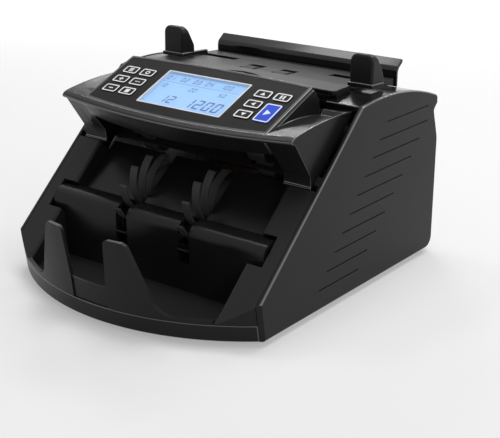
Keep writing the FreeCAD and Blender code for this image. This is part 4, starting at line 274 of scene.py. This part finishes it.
def clear_pane(name, colour):
    """Thin clear window with a hard gloss."""
    g = Graph(name)
    smear = g.noise(50, detail=4.0, stretch=(1, 4, 1))
    return g.surface(Base_Color=shade(colour, 1.0), Roughness=0.05 + smear * 0.05, Alpha=0.08,
                     IOR=PLASTIC_IOR, Coat_Weight=0.5, Coat_Roughness=0.03)


def soft_rubber(name, colour):
    """Matt rubber, dusty in places."""
    g = Graph(name)
    grain = g.noise(1500, detail=3.0)
    dusty = g.noise(40, detail=4.0)
    tone = g.tones(dusty.ease(0.35, 0.75), colour, dark=0.9, pale=1.5)
    gloss = 0.75 + (dusty - 0.5) * 0.1
    pores = g.bump(grain, strength=0.2, depth=0.1 * MM)
    return g.surface(Base_Color=tone, Roughness=gloss, Normal=pores)


def turned_steel(name, colour, roughness=0.28):
    """Bright steel with fine marks round the axis of a turned or drawn bar."""
    g = Graph(name)
    marks = g.noise(1800, stretch=(1, 0.06, 0.06))
    cloud = g.noise(35, detail=3.0)
    tone = g.tones(cloud.ease(0.3, 0.75), colour, dark=0.85, pale=1.0)
    gloss = roughness + (marks - 0.5) * 0.2
    lines = g.bump(marks, strength=0.1, depth=0.05 * MM)
    return g.surface(Base_Color=tone, Metallic=1.0, Roughness=gloss, Normal=lines)


def plated_sheet(name, colour):
    """Zinc-plated sheet with its spangle."""
    g = Graph(name)
    spangle = g.speckle(160)
    cloud = g.noise(25, detail=3.0)
    tone = g.tones(spangle.ease(0.1, 0.7), colour, dark=0.82, pale=1.05)
    gloss = 0.38 + spangle * 0.1 + (cloud - 0.5) * 0.1
    return g.surface(Base_Color=tone, Metallic=0.9, Roughness=gloss)


def circuit_board(name, colour):
    """Solder mask with copper tracks showing through as paler lines."""
    g = Graph(name)
    tracks = g.node("ShaderNodeTexBrick", inputs={"Vector": g.point, "Scale": 180.0, "Mortar Size": 0.06,
                                                  "Color1": BLACK, "Color2": BLACK, "Mortar": WHITE})
    cloud = g.noise(60, detail=3.0)
    tone = g.tones(tracks, colour, dark=0.9, pale=1.8)
    return g.surface(Base_Color=tone, Roughness=0.3 + (cloud - 0.5) * 0.15)


def laminated_core(name, colour):
    """Stacked varnished laminations."""
    g = Graph(name)
    leaves = g.node("ShaderNodeTexWave", {"bands_direction": "Y"}, {"Vector": g.point, "Scale": 300.0})
    tone = g.tones(leaves, colour, dark=0.6, pale=1.2)
    return g.surface(Base_Color=tone, Metallic=0.3, Roughness=0.5 + (leaves - 0.5) * 0.2)


# Mesh helpers

# How far a round's normal turns from its rim towards its face, as cosines.
RIM_TURN = (0.03, 0.982)
WELD_REACH = 0.002 * MM
FLAT_ANGLE = math.radians(0.4)
SHARP_ANGLE = math.radians(38)
CORNER_STEPS = 6
CIRCLE_STEPS = 32


def finish_node(name, material, edge=0.0, segments=3, rubbed_highlight=None, clamp=True):
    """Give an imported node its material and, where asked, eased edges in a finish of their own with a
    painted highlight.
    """
    node = frame["nodes"][name]
    node.data.materials.clear()
    node.data.materials.append(material)
    for polygon in node.data.polygons:
        polygon.material_index = 0
    if rubbed_highlight:
        node.data.materials.append(rubbed_highlight)
    if edge:
        ease_edges(node, edge, segments, clamp)
    return node


def rub_and_highlight_rim(node, out, front=CAD_BOX[0][1]):
    """Give the second finish, rubbed smooth with a painted highlight, to the rounds behind front, at the rim
    of the face that looks along out.
    """
    least, most = RIM_TURN
    for polygon in node.data.polygons:
        if polygon.center.y > front and least < abs(polygon.normal.dot(out)) < most:
            polygon.material_index = 1


def ease_edges(piece, width, segments, clamp):
    """Round a piece's sharp edges with modifiers and weigh its normals."""
    if "custom_normal" in piece.data.attributes:
        piece.data.attributes.remove(piece.data.attributes["custom_normal"])
    piece.data.polygons.foreach_set("use_smooth", [True] * len(piece.data.polygons))
    weld = piece.modifiers.new("weld", "WELD")
    weld.merge_threshold = WELD_REACH
    flat = piece.modifiers.new("flats", "DECIMATE")
    flat.decimate_type = "DISSOLVE"
    flat.angle_limit = FLAT_ANGLE
    bevel = piece.modifiers.new("eased", "BEVEL")
    bevel.limit_method = "ANGLE"
    bevel.angle_limit = SHARP_ANGLE
    bevel.width = width
    bevel.segments = segments
    bevel.use_clamp_overlap = clamp
    bevel.miter_outer = "MITER_ARC"
    # The rounds take the node's last finish: the rubbed one with its painted highlight, where one is given.
    bevel.material = len(piece.data.materials) - 1
    normals = piece.modifiers.new("normals", "WEIGHTED_NORMAL")
    normals.keep_sharp = True


def joint(name):
    """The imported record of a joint."""
    return next(j for j in frame["joints"] if j["name"] == name)


def console_axes():
    """Middle of the display's front on the console's face, and its right, upward and outward directions."""
    out = -Vector(joint("start_key_press")["axis"]).normalized()
    up = out.cross(RIGHT)
    axes = (Vector((0, 0, 0)), RIGHT, up, out)
    face = extent("console_panel", axes)[2][1]
    low, high = extent("lcd_frame", axes)[1]
    return (up * ((low + high) / 2) + out * face, RIGHT, up, out)


def extent(node, axes):
    """Lowest and highest reach of a node along the console's right, up and out directions."""
    origin = axes[0]
    points = [v.co - origin for v in frame["nodes"][node].data.vertices]
    return [(min(p.dot(a) for p in points), max(p.dot(a) for p in points)) for a in axes[1:]]


def on_console(axes):
    """Matrix from console right, up and out coordinates to the row frame."""
    origin, right, up, out = axes
    turn = Matrix((right, up, out)).transposed().to_4x4()
    return Matrix.Translation(origin) @ turn


def place_in_scene(name, data):
    """Make an object and link it to the scene."""
    made = bpy.data.objects.new(name, data)
    bpy.context.scene.collection.objects.link(made)
    return made


def plate_mesh(name, outlines, low, high, matrix):
    """Mesh of flat plates, each an outline with optional hole, between two heights of a tilted plane."""
    bm = bmesh.new()
    for outer, hole in outlines:
        if hole:
            ring_plate(bm, outer, hole, low, high)
        else:
            solid_plate(bm, outer, low, high)
    bmesh.ops.recalc_face_normals(bm, faces=bm.faces)
    mesh = bpy.data.meshes.new(name)
    bm.transform(matrix)
    bm.to_mesh(mesh)
    bm.free()
    return place_in_scene(name, mesh)


def solid_plate(bm, outline, low, high):
    """Add a plate with no hole."""
    bottom = [bm.verts.new((x, y, low)) for x, y in outline]
    top = [bm.verts.new((x, y, high)) for x, y in outline]
    bm.faces.new(top)
    bm.faces.new(bottom[::-1])
    wall(bm, bottom, top)


def ring_plate(bm, outer, hole, low, high):
    """Add a plate whose hole has as many points as its outline."""
    rows = [[bm.verts.new((x, y, z)) for x, y in line] for line in (outer, hole) for z in (low, high)]
    outer_low, outer_high, hole_low, hole_high = rows
    wall(bm, outer_low, outer_high)
    wall(bm, hole_high, hole_low)
    wall(bm, outer_high, hole_high)
    wall(bm, hole_low, outer_low)


def wall(bm, a, b):
    """Add a closed band of faces between two rows of points."""
    for i in range(len(a)):
        k = (i + 1) % len(a)
        bm.faces.new((a[i], a[k], b[k], b[i]))


def rounded_rect(x0, x1, y0, y1, inset, radius):
    """Outline points, inset in a rectangle, with round corners."""
    inner = inset + radius
    points = []
    for cx, cy, start in ((x1 - inner, y1 - inner, 0), (x0 + inner, y1 - inner, 90),
                          (x0 + inner, y0 + inner, 180), (x1 - inner, y0 + inner, 270)):
        for i in range(CORNER_STEPS + 1):
            a = math.radians(start + 90 * i / CORNER_STEPS)
            points.append((cx + radius * math.cos(a), cy + radius * math.sin(a)))
    return points


def circle(x, y, radius):
    """Outline points of a circle."""
    turns = [2 * math.pi * i / CIRCLE_STEPS for i in range(CIRCLE_STEPS)]
    return [(x + radius * math.cos(a), y + radius * math.sin(a)) for a in turns]


def bar(x0, y0, x1, y1):
    """Outline of a plain rectangle."""
    return ([(x0, y0), (x1, y0), (x1, y1), (x0, y1)], None)


def ring(radius, line):
    """Outline and hole of a ring round the origin."""
    return (circle(0, 0, radius), circle(0, 0, radius - line))


# Settings

def colour_setting(name, description, default):
    """An opaque colour that a user can change."""
    return bpy.props.FloatVectorProperty(name=name, description=description, subtype="COLOR", size=4,
                                         default=(*default, 1.0))


class CasingFinish(bpy.types.PropertyGroup):
    """Colours of the moulded casing."""
    body: colour_setting("Casing", "Satin plastic of the sides, arms and apron", (0.016, 0.016, 0.0165))
    hood: colour_setting("Hood", "Satin plastic of the hood and its wings", (0.013, 0.013, 0.0135))
    gloss: colour_setting("Gloss", "Polished plastic of the top cover and hopper", (0.007, 0.007, 0.0072))
    edge: bpy.props.FloatProperty(name="Edge", description="Radius of the eased edges", subtype="DISTANCE",
                                  unit="LENGTH", default=0.6 * MM)


class ConsoleFinish(bpy.types.PropertyGroup):
    """Colours of the console and its display."""
    panel: colour_setting("Panel", "Printed film of the console", (0.011, 0.0102, 0.0096))
    print: colour_setting("Print", "Outlines and signs on the keys", (0.85, 0.85, 0.86))
    start: colour_setting("Start key", "Tall key on the right", (0.03, 0.10, 0.78))
    display: colour_setting("Display", "Backlight of the display", (0.34, 0.60, 1.0))
    segment: colour_setting("Segments", "Dark segments of the display", (0.03, 0.05, 0.35))


class MechanismFinish(bpy.types.PropertyGroup):
    """Colours of the parts inside and at the back."""
    steel: colour_setting("Steel", "Bright steel of the shafts and rods", (0.62, 0.62, 0.64))
    zinc: colour_setting("Zinc", "Plating of the chassis plates", (0.55, 0.56, 0.58))
    guide: colour_setting("Guide plates", "Black plastic of the guide plates", (0.010, 0.010, 0.0105))
    roller: colour_setting("Rollers", "Grey rubber of the rollers", (0.030, 0.030, 0.031))
    belt: colour_setting("Belts", "Black rubber of the belts, wheels and feet", (0.018, 0.018, 0.018))
    can: colour_setting("Motors", "Steel of the motor cans", (0.28, 0.29, 0.31))
    idler: colour_setting("Pinch rollers", "Plastic of the pinch rollers", (0.03, 0.03, 0.031))
    pin: colour_setting("Hinge pins", "Blackened steel of the hinge pins", (0.03, 0.03, 0.032))
    board: colour_setting("Boards", "Solder mask of the boards", (0.02, 0.12, 0.05))
    fitting: colour_setting("Fittings", "Black plastic of the fittings at the back", (0.02, 0.02, 0.021))
    core: colour_setting("Transformer", "Varnished core of the transformer", (0.12, 0.08, 0.05))
    screw: colour_setting("Screws", "Blackened steel of the screws", (0.08, 0.08, 0.085))


class StudioSettings(bpy.types.PropertyGroup):
    """Camera and floor of the studio."""
    azimuth: bpy.props.FloatProperty(name="Azimuth", description="Camera's turn round the machine",
                                     subtype="ANGLE", unit="ROTATION", default=math.radians(37.81))
    elevation: bpy.props.FloatProperty(name="Elevation", description="Camera's height above the horizon",
                                       subtype="ANGLE", unit="ROTATION", default=math.radians(20.19))
    place: bpy.props.FloatVectorProperty(name="Camera place", description="Where the camera stands",
                                         subtype="TRANSLATION", unit="LENGTH", size=3,
                                         default=(0.53217, -0.63741, 0.34591))
    lens: bpy.props.FloatProperty(name="Lens", description="Focal length in millimetres", default=80.5)
    floor: colour_setting("Floor", "Pale floor", (0.60, 0.60, 0.60))


# Pieces

# Radii of eased edges that differ from the casing's.
GLOSS_EDGE = 1.0 * MM
GUIDE_EDGE = 0.3 * MM
HOOD_EDGE = 0.35 * MM
PANEL_EDGE = 0.15 * MM
FITTING_EDGE = 0.25 * MM
# The side panels' rims get the rubbed finish with its painted highlight only behind this place.
PANEL_HIGHLIGHT_FROM = -88 * MM
DISPLAY_STRENGTH = 0.72
# Greys of the console's bezel as shares of the print's white; these pale greys paint a highlight on the bezel
# and a brighter one on its rim.
BEZEL_HIGHLIGHT_TONE = 0.11
BEZEL_EDGE_HIGHLIGHT_TONE = 0.25


class COUNTER_OT_casing(bpy.types.Operator):
    """Finish the casing's shells"""
    bl_idname = "counter.casing"
    bl_label = "Casing"

    def execute(self, context):
        finish = context.scene.counter_casing
        satin = moulded_plastic("casing_satin", finish.body, roughness=0.36)
        gloss = polished_plastic("casing_gloss", finish.gloss)
        # Edges of the casing: smoother rubbed plastic with a painted highlight in a paler colour.
        rubbed_highlight = rubbed_highlight_edge("casing_edge", finish.body, roughness=0.3)
        stacker = moulded_plastic("stacker_gloss", finish.hood, roughness=0.22)
        smooth = moulded_plastic("hopper_smooth", finish.gloss, roughness=0.38)
        for name in ("right_side_panel", "left_side_panel"):
            rub_and_highlight_rim(finish_node(name, satin, rubbed_highlight=rubbed_highlight), RIGHT, PANEL_HIGHLIGHT_FROM)
        for name in ("base_pan", "front_apron", "stop_plate", "tray_floor", "right_front_arm",
                     "left_front_arm", "rear_cover"):
            finish_node(name, satin, finish.edge, rubbed_highlight=rubbed_highlight)
        for name in ("right_note_guide", "left_note_guide"):
            finish_node(name, satin, GUIDE_EDGE, segments=2, rubbed_highlight=rubbed_highlight, clamp=False)
        finish_node("stacker_plate", stacker, finish.edge)
        for name in ("top_cover", "hopper_support"):
            finish_node(name, gloss, GLOSS_EDGE, segments=4)
        for name in ("hopper_plate", "hopper_floor"):
            finish_node(name, smooth, finish.edge)
        return {"FINISHED"}


class COUNTER_OT_hood(bpy.types.Operator):
    """Finish the hood"""
    bl_idname = "counter.hood"
    bl_label = "Hood"

    def execute(self, context):
        finish = context.scene.counter_casing
        satin = moulded_plastic("hood_satin", finish.hood, roughness=0.30)
        # Eased edges of the hood: smoother rubbed plastic with a painted highlight in a paler colour.
        rubbed_highlight = rubbed_highlight_edge("hood_edge", finish.hood)
        finish_node("hood_shell", satin, HOOD_EDGE, segments=2, rubbed_highlight=rubbed_highlight, clamp=False)
        pin = turned_steel("pin_black", context.scene.counter_mechanism.pin, roughness=0.4)
        finish_node("hood_hinge_pins", pin)
        return {"FINISHED"}


class COUNTER_OT_console(bpy.types.Operator):
    """Finish the console panel and the display behind its window"""
    bl_idname = "counter.console"
    bl_label = "Console"

    def execute(self, context):
        finish = context.scene.counter_console
        axes = console_axes()
        # Bezel painted pale grey as a highlight round the panel, with a paler painted highlight on its rim.
        satin = moulded_plastic("bezel_satin", shade(finish.print, BEZEL_HIGHLIGHT_TONE), roughness=0.25)
        rubbed_highlight = rubbed_highlight_edge("bezel_edge", shade(finish.print, BEZEL_EDGE_HIGHLIGHT_TONE))
        rub_and_highlight_rim(finish_node("console_bezel", satin, rubbed_highlight=rubbed_highlight), axes[3])
        finish_node("console_panel", printed_film("panel_film", finish.panel), PANEL_EDGE)
        finish_node("lcd_frame", ink("display_border", finish.print, roughness=0.4))
        finish_node("lcd_module", lit_glass("display_cell", finish.display, DISPLAY_STRENGTH, axes))
        finish_node("lcd_window", clear_pane("display_pane", finish.display))
        return {"FINISHED"}


# Segments of each figure: a, g and d lie from top to bottom, f and b stand above e and c.
SEGMENTS = {"0": "abcdef", "1": "bc", "2": "abged", "3": "abgcd", "4": "fgbc", "5": "afgcd",
            "6": "afgedc", "7": "abc", "8": "abcdefg", "9": "abcdfg"}
# Sizes of a figure as shares of its height, its width or its bar.
FIGURE_WIDTH = 0.55
FIGURE_PITCH = 1.45
FIGURE_BAR = 0.11
FIGURE_LEAN = 0.14
BAR_GAP = 0.12
# Figures with their left edge, foot and height, and the line, as shares of the window's width and height.
COUNT_FIGURES = (("1200", 0.52, 0.07, 0.27), ("12", 0.21, 0.09, 0.22))
MARK_FIGURES = (("01", 0.05, 0.76, 0.12), ("02", 0.22, 0.76, 0.12), ("03", 0.38, 0.76, 0.12),
                ("04", 0.53, 0.76, 0.12), ("100", 0.72, 0.76, 0.12), ("10", 0.05, 0.52, 0.11),
                ("20", 0.42, 0.52, 0.11), ("50", 0.78, 0.52, 0.11))
LINE_MARGIN = 0.03
LINE_HEIGHT = 0.70
LINE_WIDTH = 0.25 * MM
# The segments lie between these heights above the window.
SEGMENT_FOOT = 0.02 * MM
SEGMENT_TOP = 0.06 * MM


def digit(sign, x, y, width, height):
    """Outlines of one seven-segment figure standing at x, y."""
    thick = height * FIGURE_BAR
    gap = thick * BAR_GAP
    half = height / 2
    r = thick / 2
    spots = {"a": (0, height - thick, width, height), "g": (0, half - r, width, half + r),
             "d": (0, 0, width, thick), "f": (0, half, thick, height), "e": (0, 0, thick, half),
             "b": (width - thick, half, width, height), "c": (width - thick, 0, width, half)}
    outlines = []
    for name in SEGMENTS[sign]:
        x0, y0, x1, y1 = spots[name]
        if name in "agd":
            x0, x1, m = x0 + gap, x1 - gap, (y0 + y1) / 2
            line = [(x0 + r, y0), (x1 - r, y0), (x1, m), (x1 - r, y1), (x0 + r, y1), (x0, m)]
        else:
            y0, y1, m = y0 + gap, y1 - gap, (x0 + x1) / 2
            line = [(m, y0), (x1, y0 + r), (x1, y1 - r), (m, y1), (x0, y1 - r), (x0, y0 + r)]
        outlines.append(([(x + u + FIGURE_LEAN * v, y + v) for u, v in line], None))
    return outlines


def figures(text, x, y, height):
    """Outlines of a row of figures."""
    width = height * FIGURE_WIDTH
    outlines = []
    for i, sign in enumerate(text):
        outlines += digit(sign, x + i * width * FIGURE_PITCH, y, width, height)
    return outlines


def window_figures(rows, x0, y0, w, h):
    """Outlines of rows of figures placed in the window."""
    outlines = []
    for text, left, foot, height in rows:
        outlines += figures(text, x0 + left * w, y0 + foot * h, height * h)
    return outlines


class COUNTER_OT_display(bpy.types.Operator):
    """Draw the dark segments of the display"""
    bl_idname = "counter.display"
    bl_label = "Display figures"

    def execute(self, context):
        finish = context.scene.counter_console
        axes = console_axes()
        (x0, x1), (y0, y1), (_, top) = extent("lcd_window", axes)
        w, h = x1 - x0, y1 - y0
        margin = LINE_MARGIN * w
        line = y0 + LINE_HEIGHT * h
        count = window_figures(COUNT_FIGURES, x0, y0, w, h)
        marks = [bar(x0 + margin, line, x1 - margin, line + LINE_WIDTH)]
        marks += window_figures(MARK_FIGURES, x0, y0, w, h)
        dark = ink("display_segments", finish.segment, roughness=0.3)
        for name, outlines in (("display_count", count), ("display_marks", marks)):
            piece = plate_mesh(name, outlines, top + SEGMENT_FOOT, top + SEGMENT_TOP, on_console(axes))
            piece.data.materials.append(dark)
            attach(piece, "hood")
        return {"FINISHED"}


# Print on the keys: margin, line and corners of the outline, and how far it is sunk in and stands out.
KEY_MARGIN = 0.35 * MM
KEY_LINE = 1.15 * MM
KEY_CORNER = 1.8 * MM
KEY_INNER_CORNER = 0.8 * MM
PRINT_SINK = 0.02 * MM
PRINT_RISE = 0.05 * MM
# A sign's half size as a share of its key, and half its line as a share of that.
SIGN_SIZE = 0.23
SIGN_LINE = 0.24
# Places in a sign as shares of its half size, and of half its line.
ARROW_TIP = 0.9
ARROW_BACK = 0.7
DOT_PITCH = 0.8
DOT_RADIUS = 1.2
BAR_PITCH = 3


def key_sign(kind, size):
    """Outlines of a plain sign, in a square of twice the size round the origin."""
    t = SIGN_LINE * size
    tip = ARROW_TIP * size
    back = ARROW_BACK * size
    steps = (-1, 0, 1)
    signs = {
        "plus": [([(-t, -size), (t, -size), (t, -t), (size, -t), (size, t), (t, t), (t, size), (-t, size),
                   (-t, t), (-size, t), (-size, -t), (-t, -t)], None)],
        "minus": [bar(-size, -t, size, t)],
        "ring": [ring(size, 2 * t)],
        "dots": [(circle(k * DOT_PITCH * size, 0, DOT_RADIUS * t), None) for k in steps],
        "bars": [bar(-size, k * BAR_PITCH * t - t, size, k * BAR_PITCH * t + t) for k in steps],
        "square": [bar(-size, -size, size, size)],
        "up": [([(-size, -back), (size, -back), (0, tip)], None)],
        "down": [([(-size, back), (0, -tip), (size, back)], None)],
        "left": [([(-tip, 0), (back, -size), (back, size)], None)],
        "right": [([(-back, -size), (tip, 0), (-back, size)], None)],
        "pair": [bar(-size, -size, -t, size), bar(t, -size, size, size)],
    }
    return signs[kind]


KEY_SIGNS = {"left_outer_top_key": "bars", "left_outer_middle_key": "plus", "left_outer_bottom_key": "minus",
             "left_inner_top_key": "ring", "left_inner_middle_key": "dots", "left_inner_bottom_key": "square",
             "right_inner_top_key": "up", "right_inner_middle_key": "left", "right_inner_bottom_key": "down",
             "right_outer_top_key": "pair", "start_key": "right"}


class COUNTER_OT_keys(bpy.types.Operator):
    """Finish the keys with their printed outlines and signs"""
    bl_idname = "counter.keys"
    bl_label = "Keys"

    def execute(self, context):
        finish = context.scene.counter_console
        axes = console_axes()
        cap = printed_film("key_film", finish.panel)
        start = printed_film("start_key_film", finish.start)
        white = ink("key_print", finish.print)
        for name in sorted(n for n in frame["nodes"] if n.endswith("_key")):
            finish_node(name, start if name == "start_key" else cap)
            (x0, x1), (y0, y1), (_, top) = extent(name, axes)
            outer = rounded_rect(x0, x1, y0, y1, KEY_MARGIN, KEY_CORNER)
            hole = rounded_rect(x0, x1, y0, y1, KEY_MARGIN + KEY_LINE, KEY_INNER_CORNER)
            sign = key_sign(KEY_SIGNS[name], SIGN_SIZE * min(x1 - x0, y1 - y0))
            face = on_console(axes)
            middle = face @ Matrix.Translation(((x0 + x1) / 2, (y0 + y1) / 2, 0))
            for suffix, outlines, place in (("_print", [(outer, hole)], face), ("_sign", sign, middle)):
                piece = plate_mesh(name + suffix, outlines, top - PRINT_SINK, top + PRINT_RISE, place)
                piece.data.materials.append(white)
                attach(piece, name)
        return {"FINISHED"}


class COUNTER_OT_mechanism(bpy.types.Operator):
    """Finish the rollers, shafts, belts and plates inside"""
    bl_idname = "counter.mechanism"
    bl_label = "Mechanism"

    def execute(self, context):
        finish = context.scene.counter_mechanism
        steel = turned_steel("shaft_steel", finish.steel)
        sheet = plated_sheet("chassis_zinc", finish.zinc)
        guide = moulded_plastic("guide_black", finish.guide, roughness=0.5)
        grey = soft_rubber("roller_rubber", finish.roller)
        black = soft_rubber("belt_rubber", finish.belt)
        can = turned_steel("motor_can", finish.can, roughness=0.4)
        idler = moulded_plastic("idler_plastic", finish.idler, roughness=0.45)
        for name in ("cross_rods", "shaft_bearings", "feed_shaft", "stacker_shaft", "main_motor_pulley",
                     "stacker_motor_pulley"):
            finish_node(name, steel)
        finish_node("chassis_plates", sheet)
        for name in ("lower_guide_plate", "upper_guide_plate"):
            finish_node(name, guide)
        for name in ("feed_rollers", "transport_rollers", "separation_rollers"):
            finish_node(name, grey)
        for name in ("pickup_rollers", "stacker_wheels", "drive_belts", "rubber_feet"):
            finish_node(name, black)
        finish_node("motors", can)
        finish_node("pinch_rollers", idler)
        return {"FINISHED"}


class COUNTER_OT_electrics(bpy.types.Operator):
    """Finish the boards, the transformer and the fittings at the back"""
    bl_idname = "counter.electrics"
    bl_label = "Electrics"

    def execute(self, context):
        finish = context.scene.counter_mechanism
        green = circuit_board("solder_mask", finish.board)
        fitting = moulded_plastic("fitting_black", finish.fitting, roughness=0.35)
        for name in ("hood_boards", "control_boards"):
            finish_node(name, green)
        finish_node("transformer", laminated_core("core_iron", finish.core))
        for name in ("power_inlet", "rear_fittings", "power_rocker"):
            finish_node(name, fitting, FITTING_EDGE)
        finish_node("rear_screws", turned_steel("screw_black", finish.screw, roughness=0.35))
        return {"FINISHED"}


# Studio

FLOOR_REACH = 6.0
# Squared distances from the middle over which the floor fades to white.
FLOOR_FADE = (0.2, 3.0)
# Glow of the floor near the machine, and the share of its colour in the light that it throws up.
FLOOR_LIFT = 0.345
FLOOR_BOUNCE = 0.8
AMBIENT = 0.22
# Lamps with their place, width, depth and power in watts. All of them look at LAMP_AIM.
SOFTBOXES = (
    ("back_card", (-0.890, 1.024, 0.968), 0.5, 0.15, 4.2),
    ("left_strip", (-0.792, 0.111, 1.49), 0.5, 0.2, 2.5),
    ("rear_strip", (0.20, 1.11, 1.13), 0.6, 0.2, 4.0),
    ("front_box", (1.20, -0.64, 0.73), 0.25, 0.25, 2.0),
    ("top_box", (0.1, 0.2, 1.5), 1.1, 0.8, 10.0),
    ("right_box", (1.4, 0.3, 0.7), 0.9, 0.9, 2.2),
)
LAMP_AIM = (0, 0, 0.08)
SENSOR_WIDTH = 36.0
CLIP_START = 0.01


def floor_paint(colour):
    """Pale floor that keeps the shadow, reads as white to the eye and throws little light back up."""
    g = Graph("floor_paint")
    seen = g.shown()
    x, y = g.axis("X"), g.axis("Y")
    near = g.blend((x * x + y * y).ease(*FLOOR_FADE), shade(WHITE, FLOOR_LIFT), WHITE)
    paint = g.blend(seen, shade(colour, FLOOR_BOUNCE), colour)
    return g.surface(Base_Color=paint, Roughness=0.9, Specular_IOR_Level=0.0,
                     Emission_Color=g.blend(seen, BLACK, near), Emission_Strength=1.0)


def white_world():
    """World that is white to look at and throws a dimmer light on the machine."""
    g = Graph("studio", "worlds")
    strength = AMBIENT + g.shown() * (1 - AMBIENT)
    back = g.node("ShaderNodeBackground", inputs={"Color": WHITE, "Strength": strength})
    g.node("ShaderNodeOutputWorld", inputs={"Surface": back})
    return g.owner


def softbox(name, place, width, depth, power):
    """Add a rectangular lamp that looks at the machine."""
    lamp = bpy.data.lights.new(name, "AREA")
    lamp.shape = "RECTANGLE"
    lamp.size = width
    lamp.size_y = depth
    lamp.energy = power
    box = place_in_scene(name, lamp)
    box.location = place
    box.rotation_euler = (Vector(LAMP_AIM) - Vector(place)).to_track_quat("-Z", "Y").to_euler()


class COUNTER_OT_studio(bpy.types.Operator):
    """Set the floor, the light and the camera"""
    bl_idname = "counter.studio"
    bl_label = "Studio"

    def execute(self, context):
        scene = context.scene
        studio = scene.counter_studio
        mesh = bpy.data.meshes.new("floor")
        signs = ((-1, -1), (1, -1), (1, 1), (-1, 1))
        mesh.from_pydata([(x * FLOOR_REACH, y * FLOOR_REACH, 0) for x, y in signs], [], [(0, 1, 2, 3)])
        mesh.materials.append(floor_paint(studio.floor))
        floor = place_in_scene("floor", mesh)
        scene.world = white_world()
        for lamp in SOFTBOXES:
            softbox(*lamp)
        data = bpy.data.cameras.new("camera")
        data.lens = studio.lens
        data.sensor_width = SENSOR_WIDTH
        data.clip_start = CLIP_START
        camera = place_in_scene("camera", data)
        camera.location = studio.place
        camera.rotation_euler = (math.pi / 2 - studio.elevation, 0, studio.azimuth)
        scene.camera = camera
        scene.view_settings.view_transform = "Standard"
        return {"FINISHED"}


class COUNTER_PT_sidebar(bpy.types.Panel):
    """Lists the pieces and their settings"""
    bl_idname = "COUNTER_PT_sidebar"
    bl_label = "Banknote counter"
    bl_space_type = "VIEW_3D"
    bl_region_type = "UI"
    bl_category = "Counter"

    def draw(self, context):
        for operator in OPERATORS:
            self.layout.operator(operator.bl_idname)
        for group in GROUPS:
            settings = getattr(context.scene, group)
            for key in GROUPS[group].__annotations__:
                self.layout.prop(settings, key)


OPERATORS = (COUNTER_OT_casing, COUNTER_OT_hood, COUNTER_OT_console, COUNTER_OT_display, COUNTER_OT_keys,
             COUNTER_OT_mechanism, COUNTER_OT_electrics, COUNTER_OT_studio)
GROUPS = {"counter_casing": CasingFinish, "counter_console": ConsoleFinish,
          "counter_mechanism": MechanismFinish, "counter_studio": StudioSettings}


def register():
    for group, kind in GROUPS.items():
        bpy.utils.register_class(kind)
        setattr(bpy.types.Scene, group, bpy.props.PointerProperty(type=kind))
    for kind in (*OPERATORS, COUNTER_PT_sidebar):
        bpy.utils.register_class(kind)


def unregister():
    for kind in (COUNTER_PT_sidebar, *reversed(OPERATORS)):
        bpy.utils.unregister_class(kind)
    for group, kind in GROUPS.items():
        delattr(bpy.types.Scene, group)
        bpy.utils.unregister_class(kind)


def main():
    register()
    for operator in OPERATORS:
        group, action = operator.bl_idname.split(".")
        getattr(getattr(bpy.ops, group), action)()


if __name__ == "__main__":
    main()
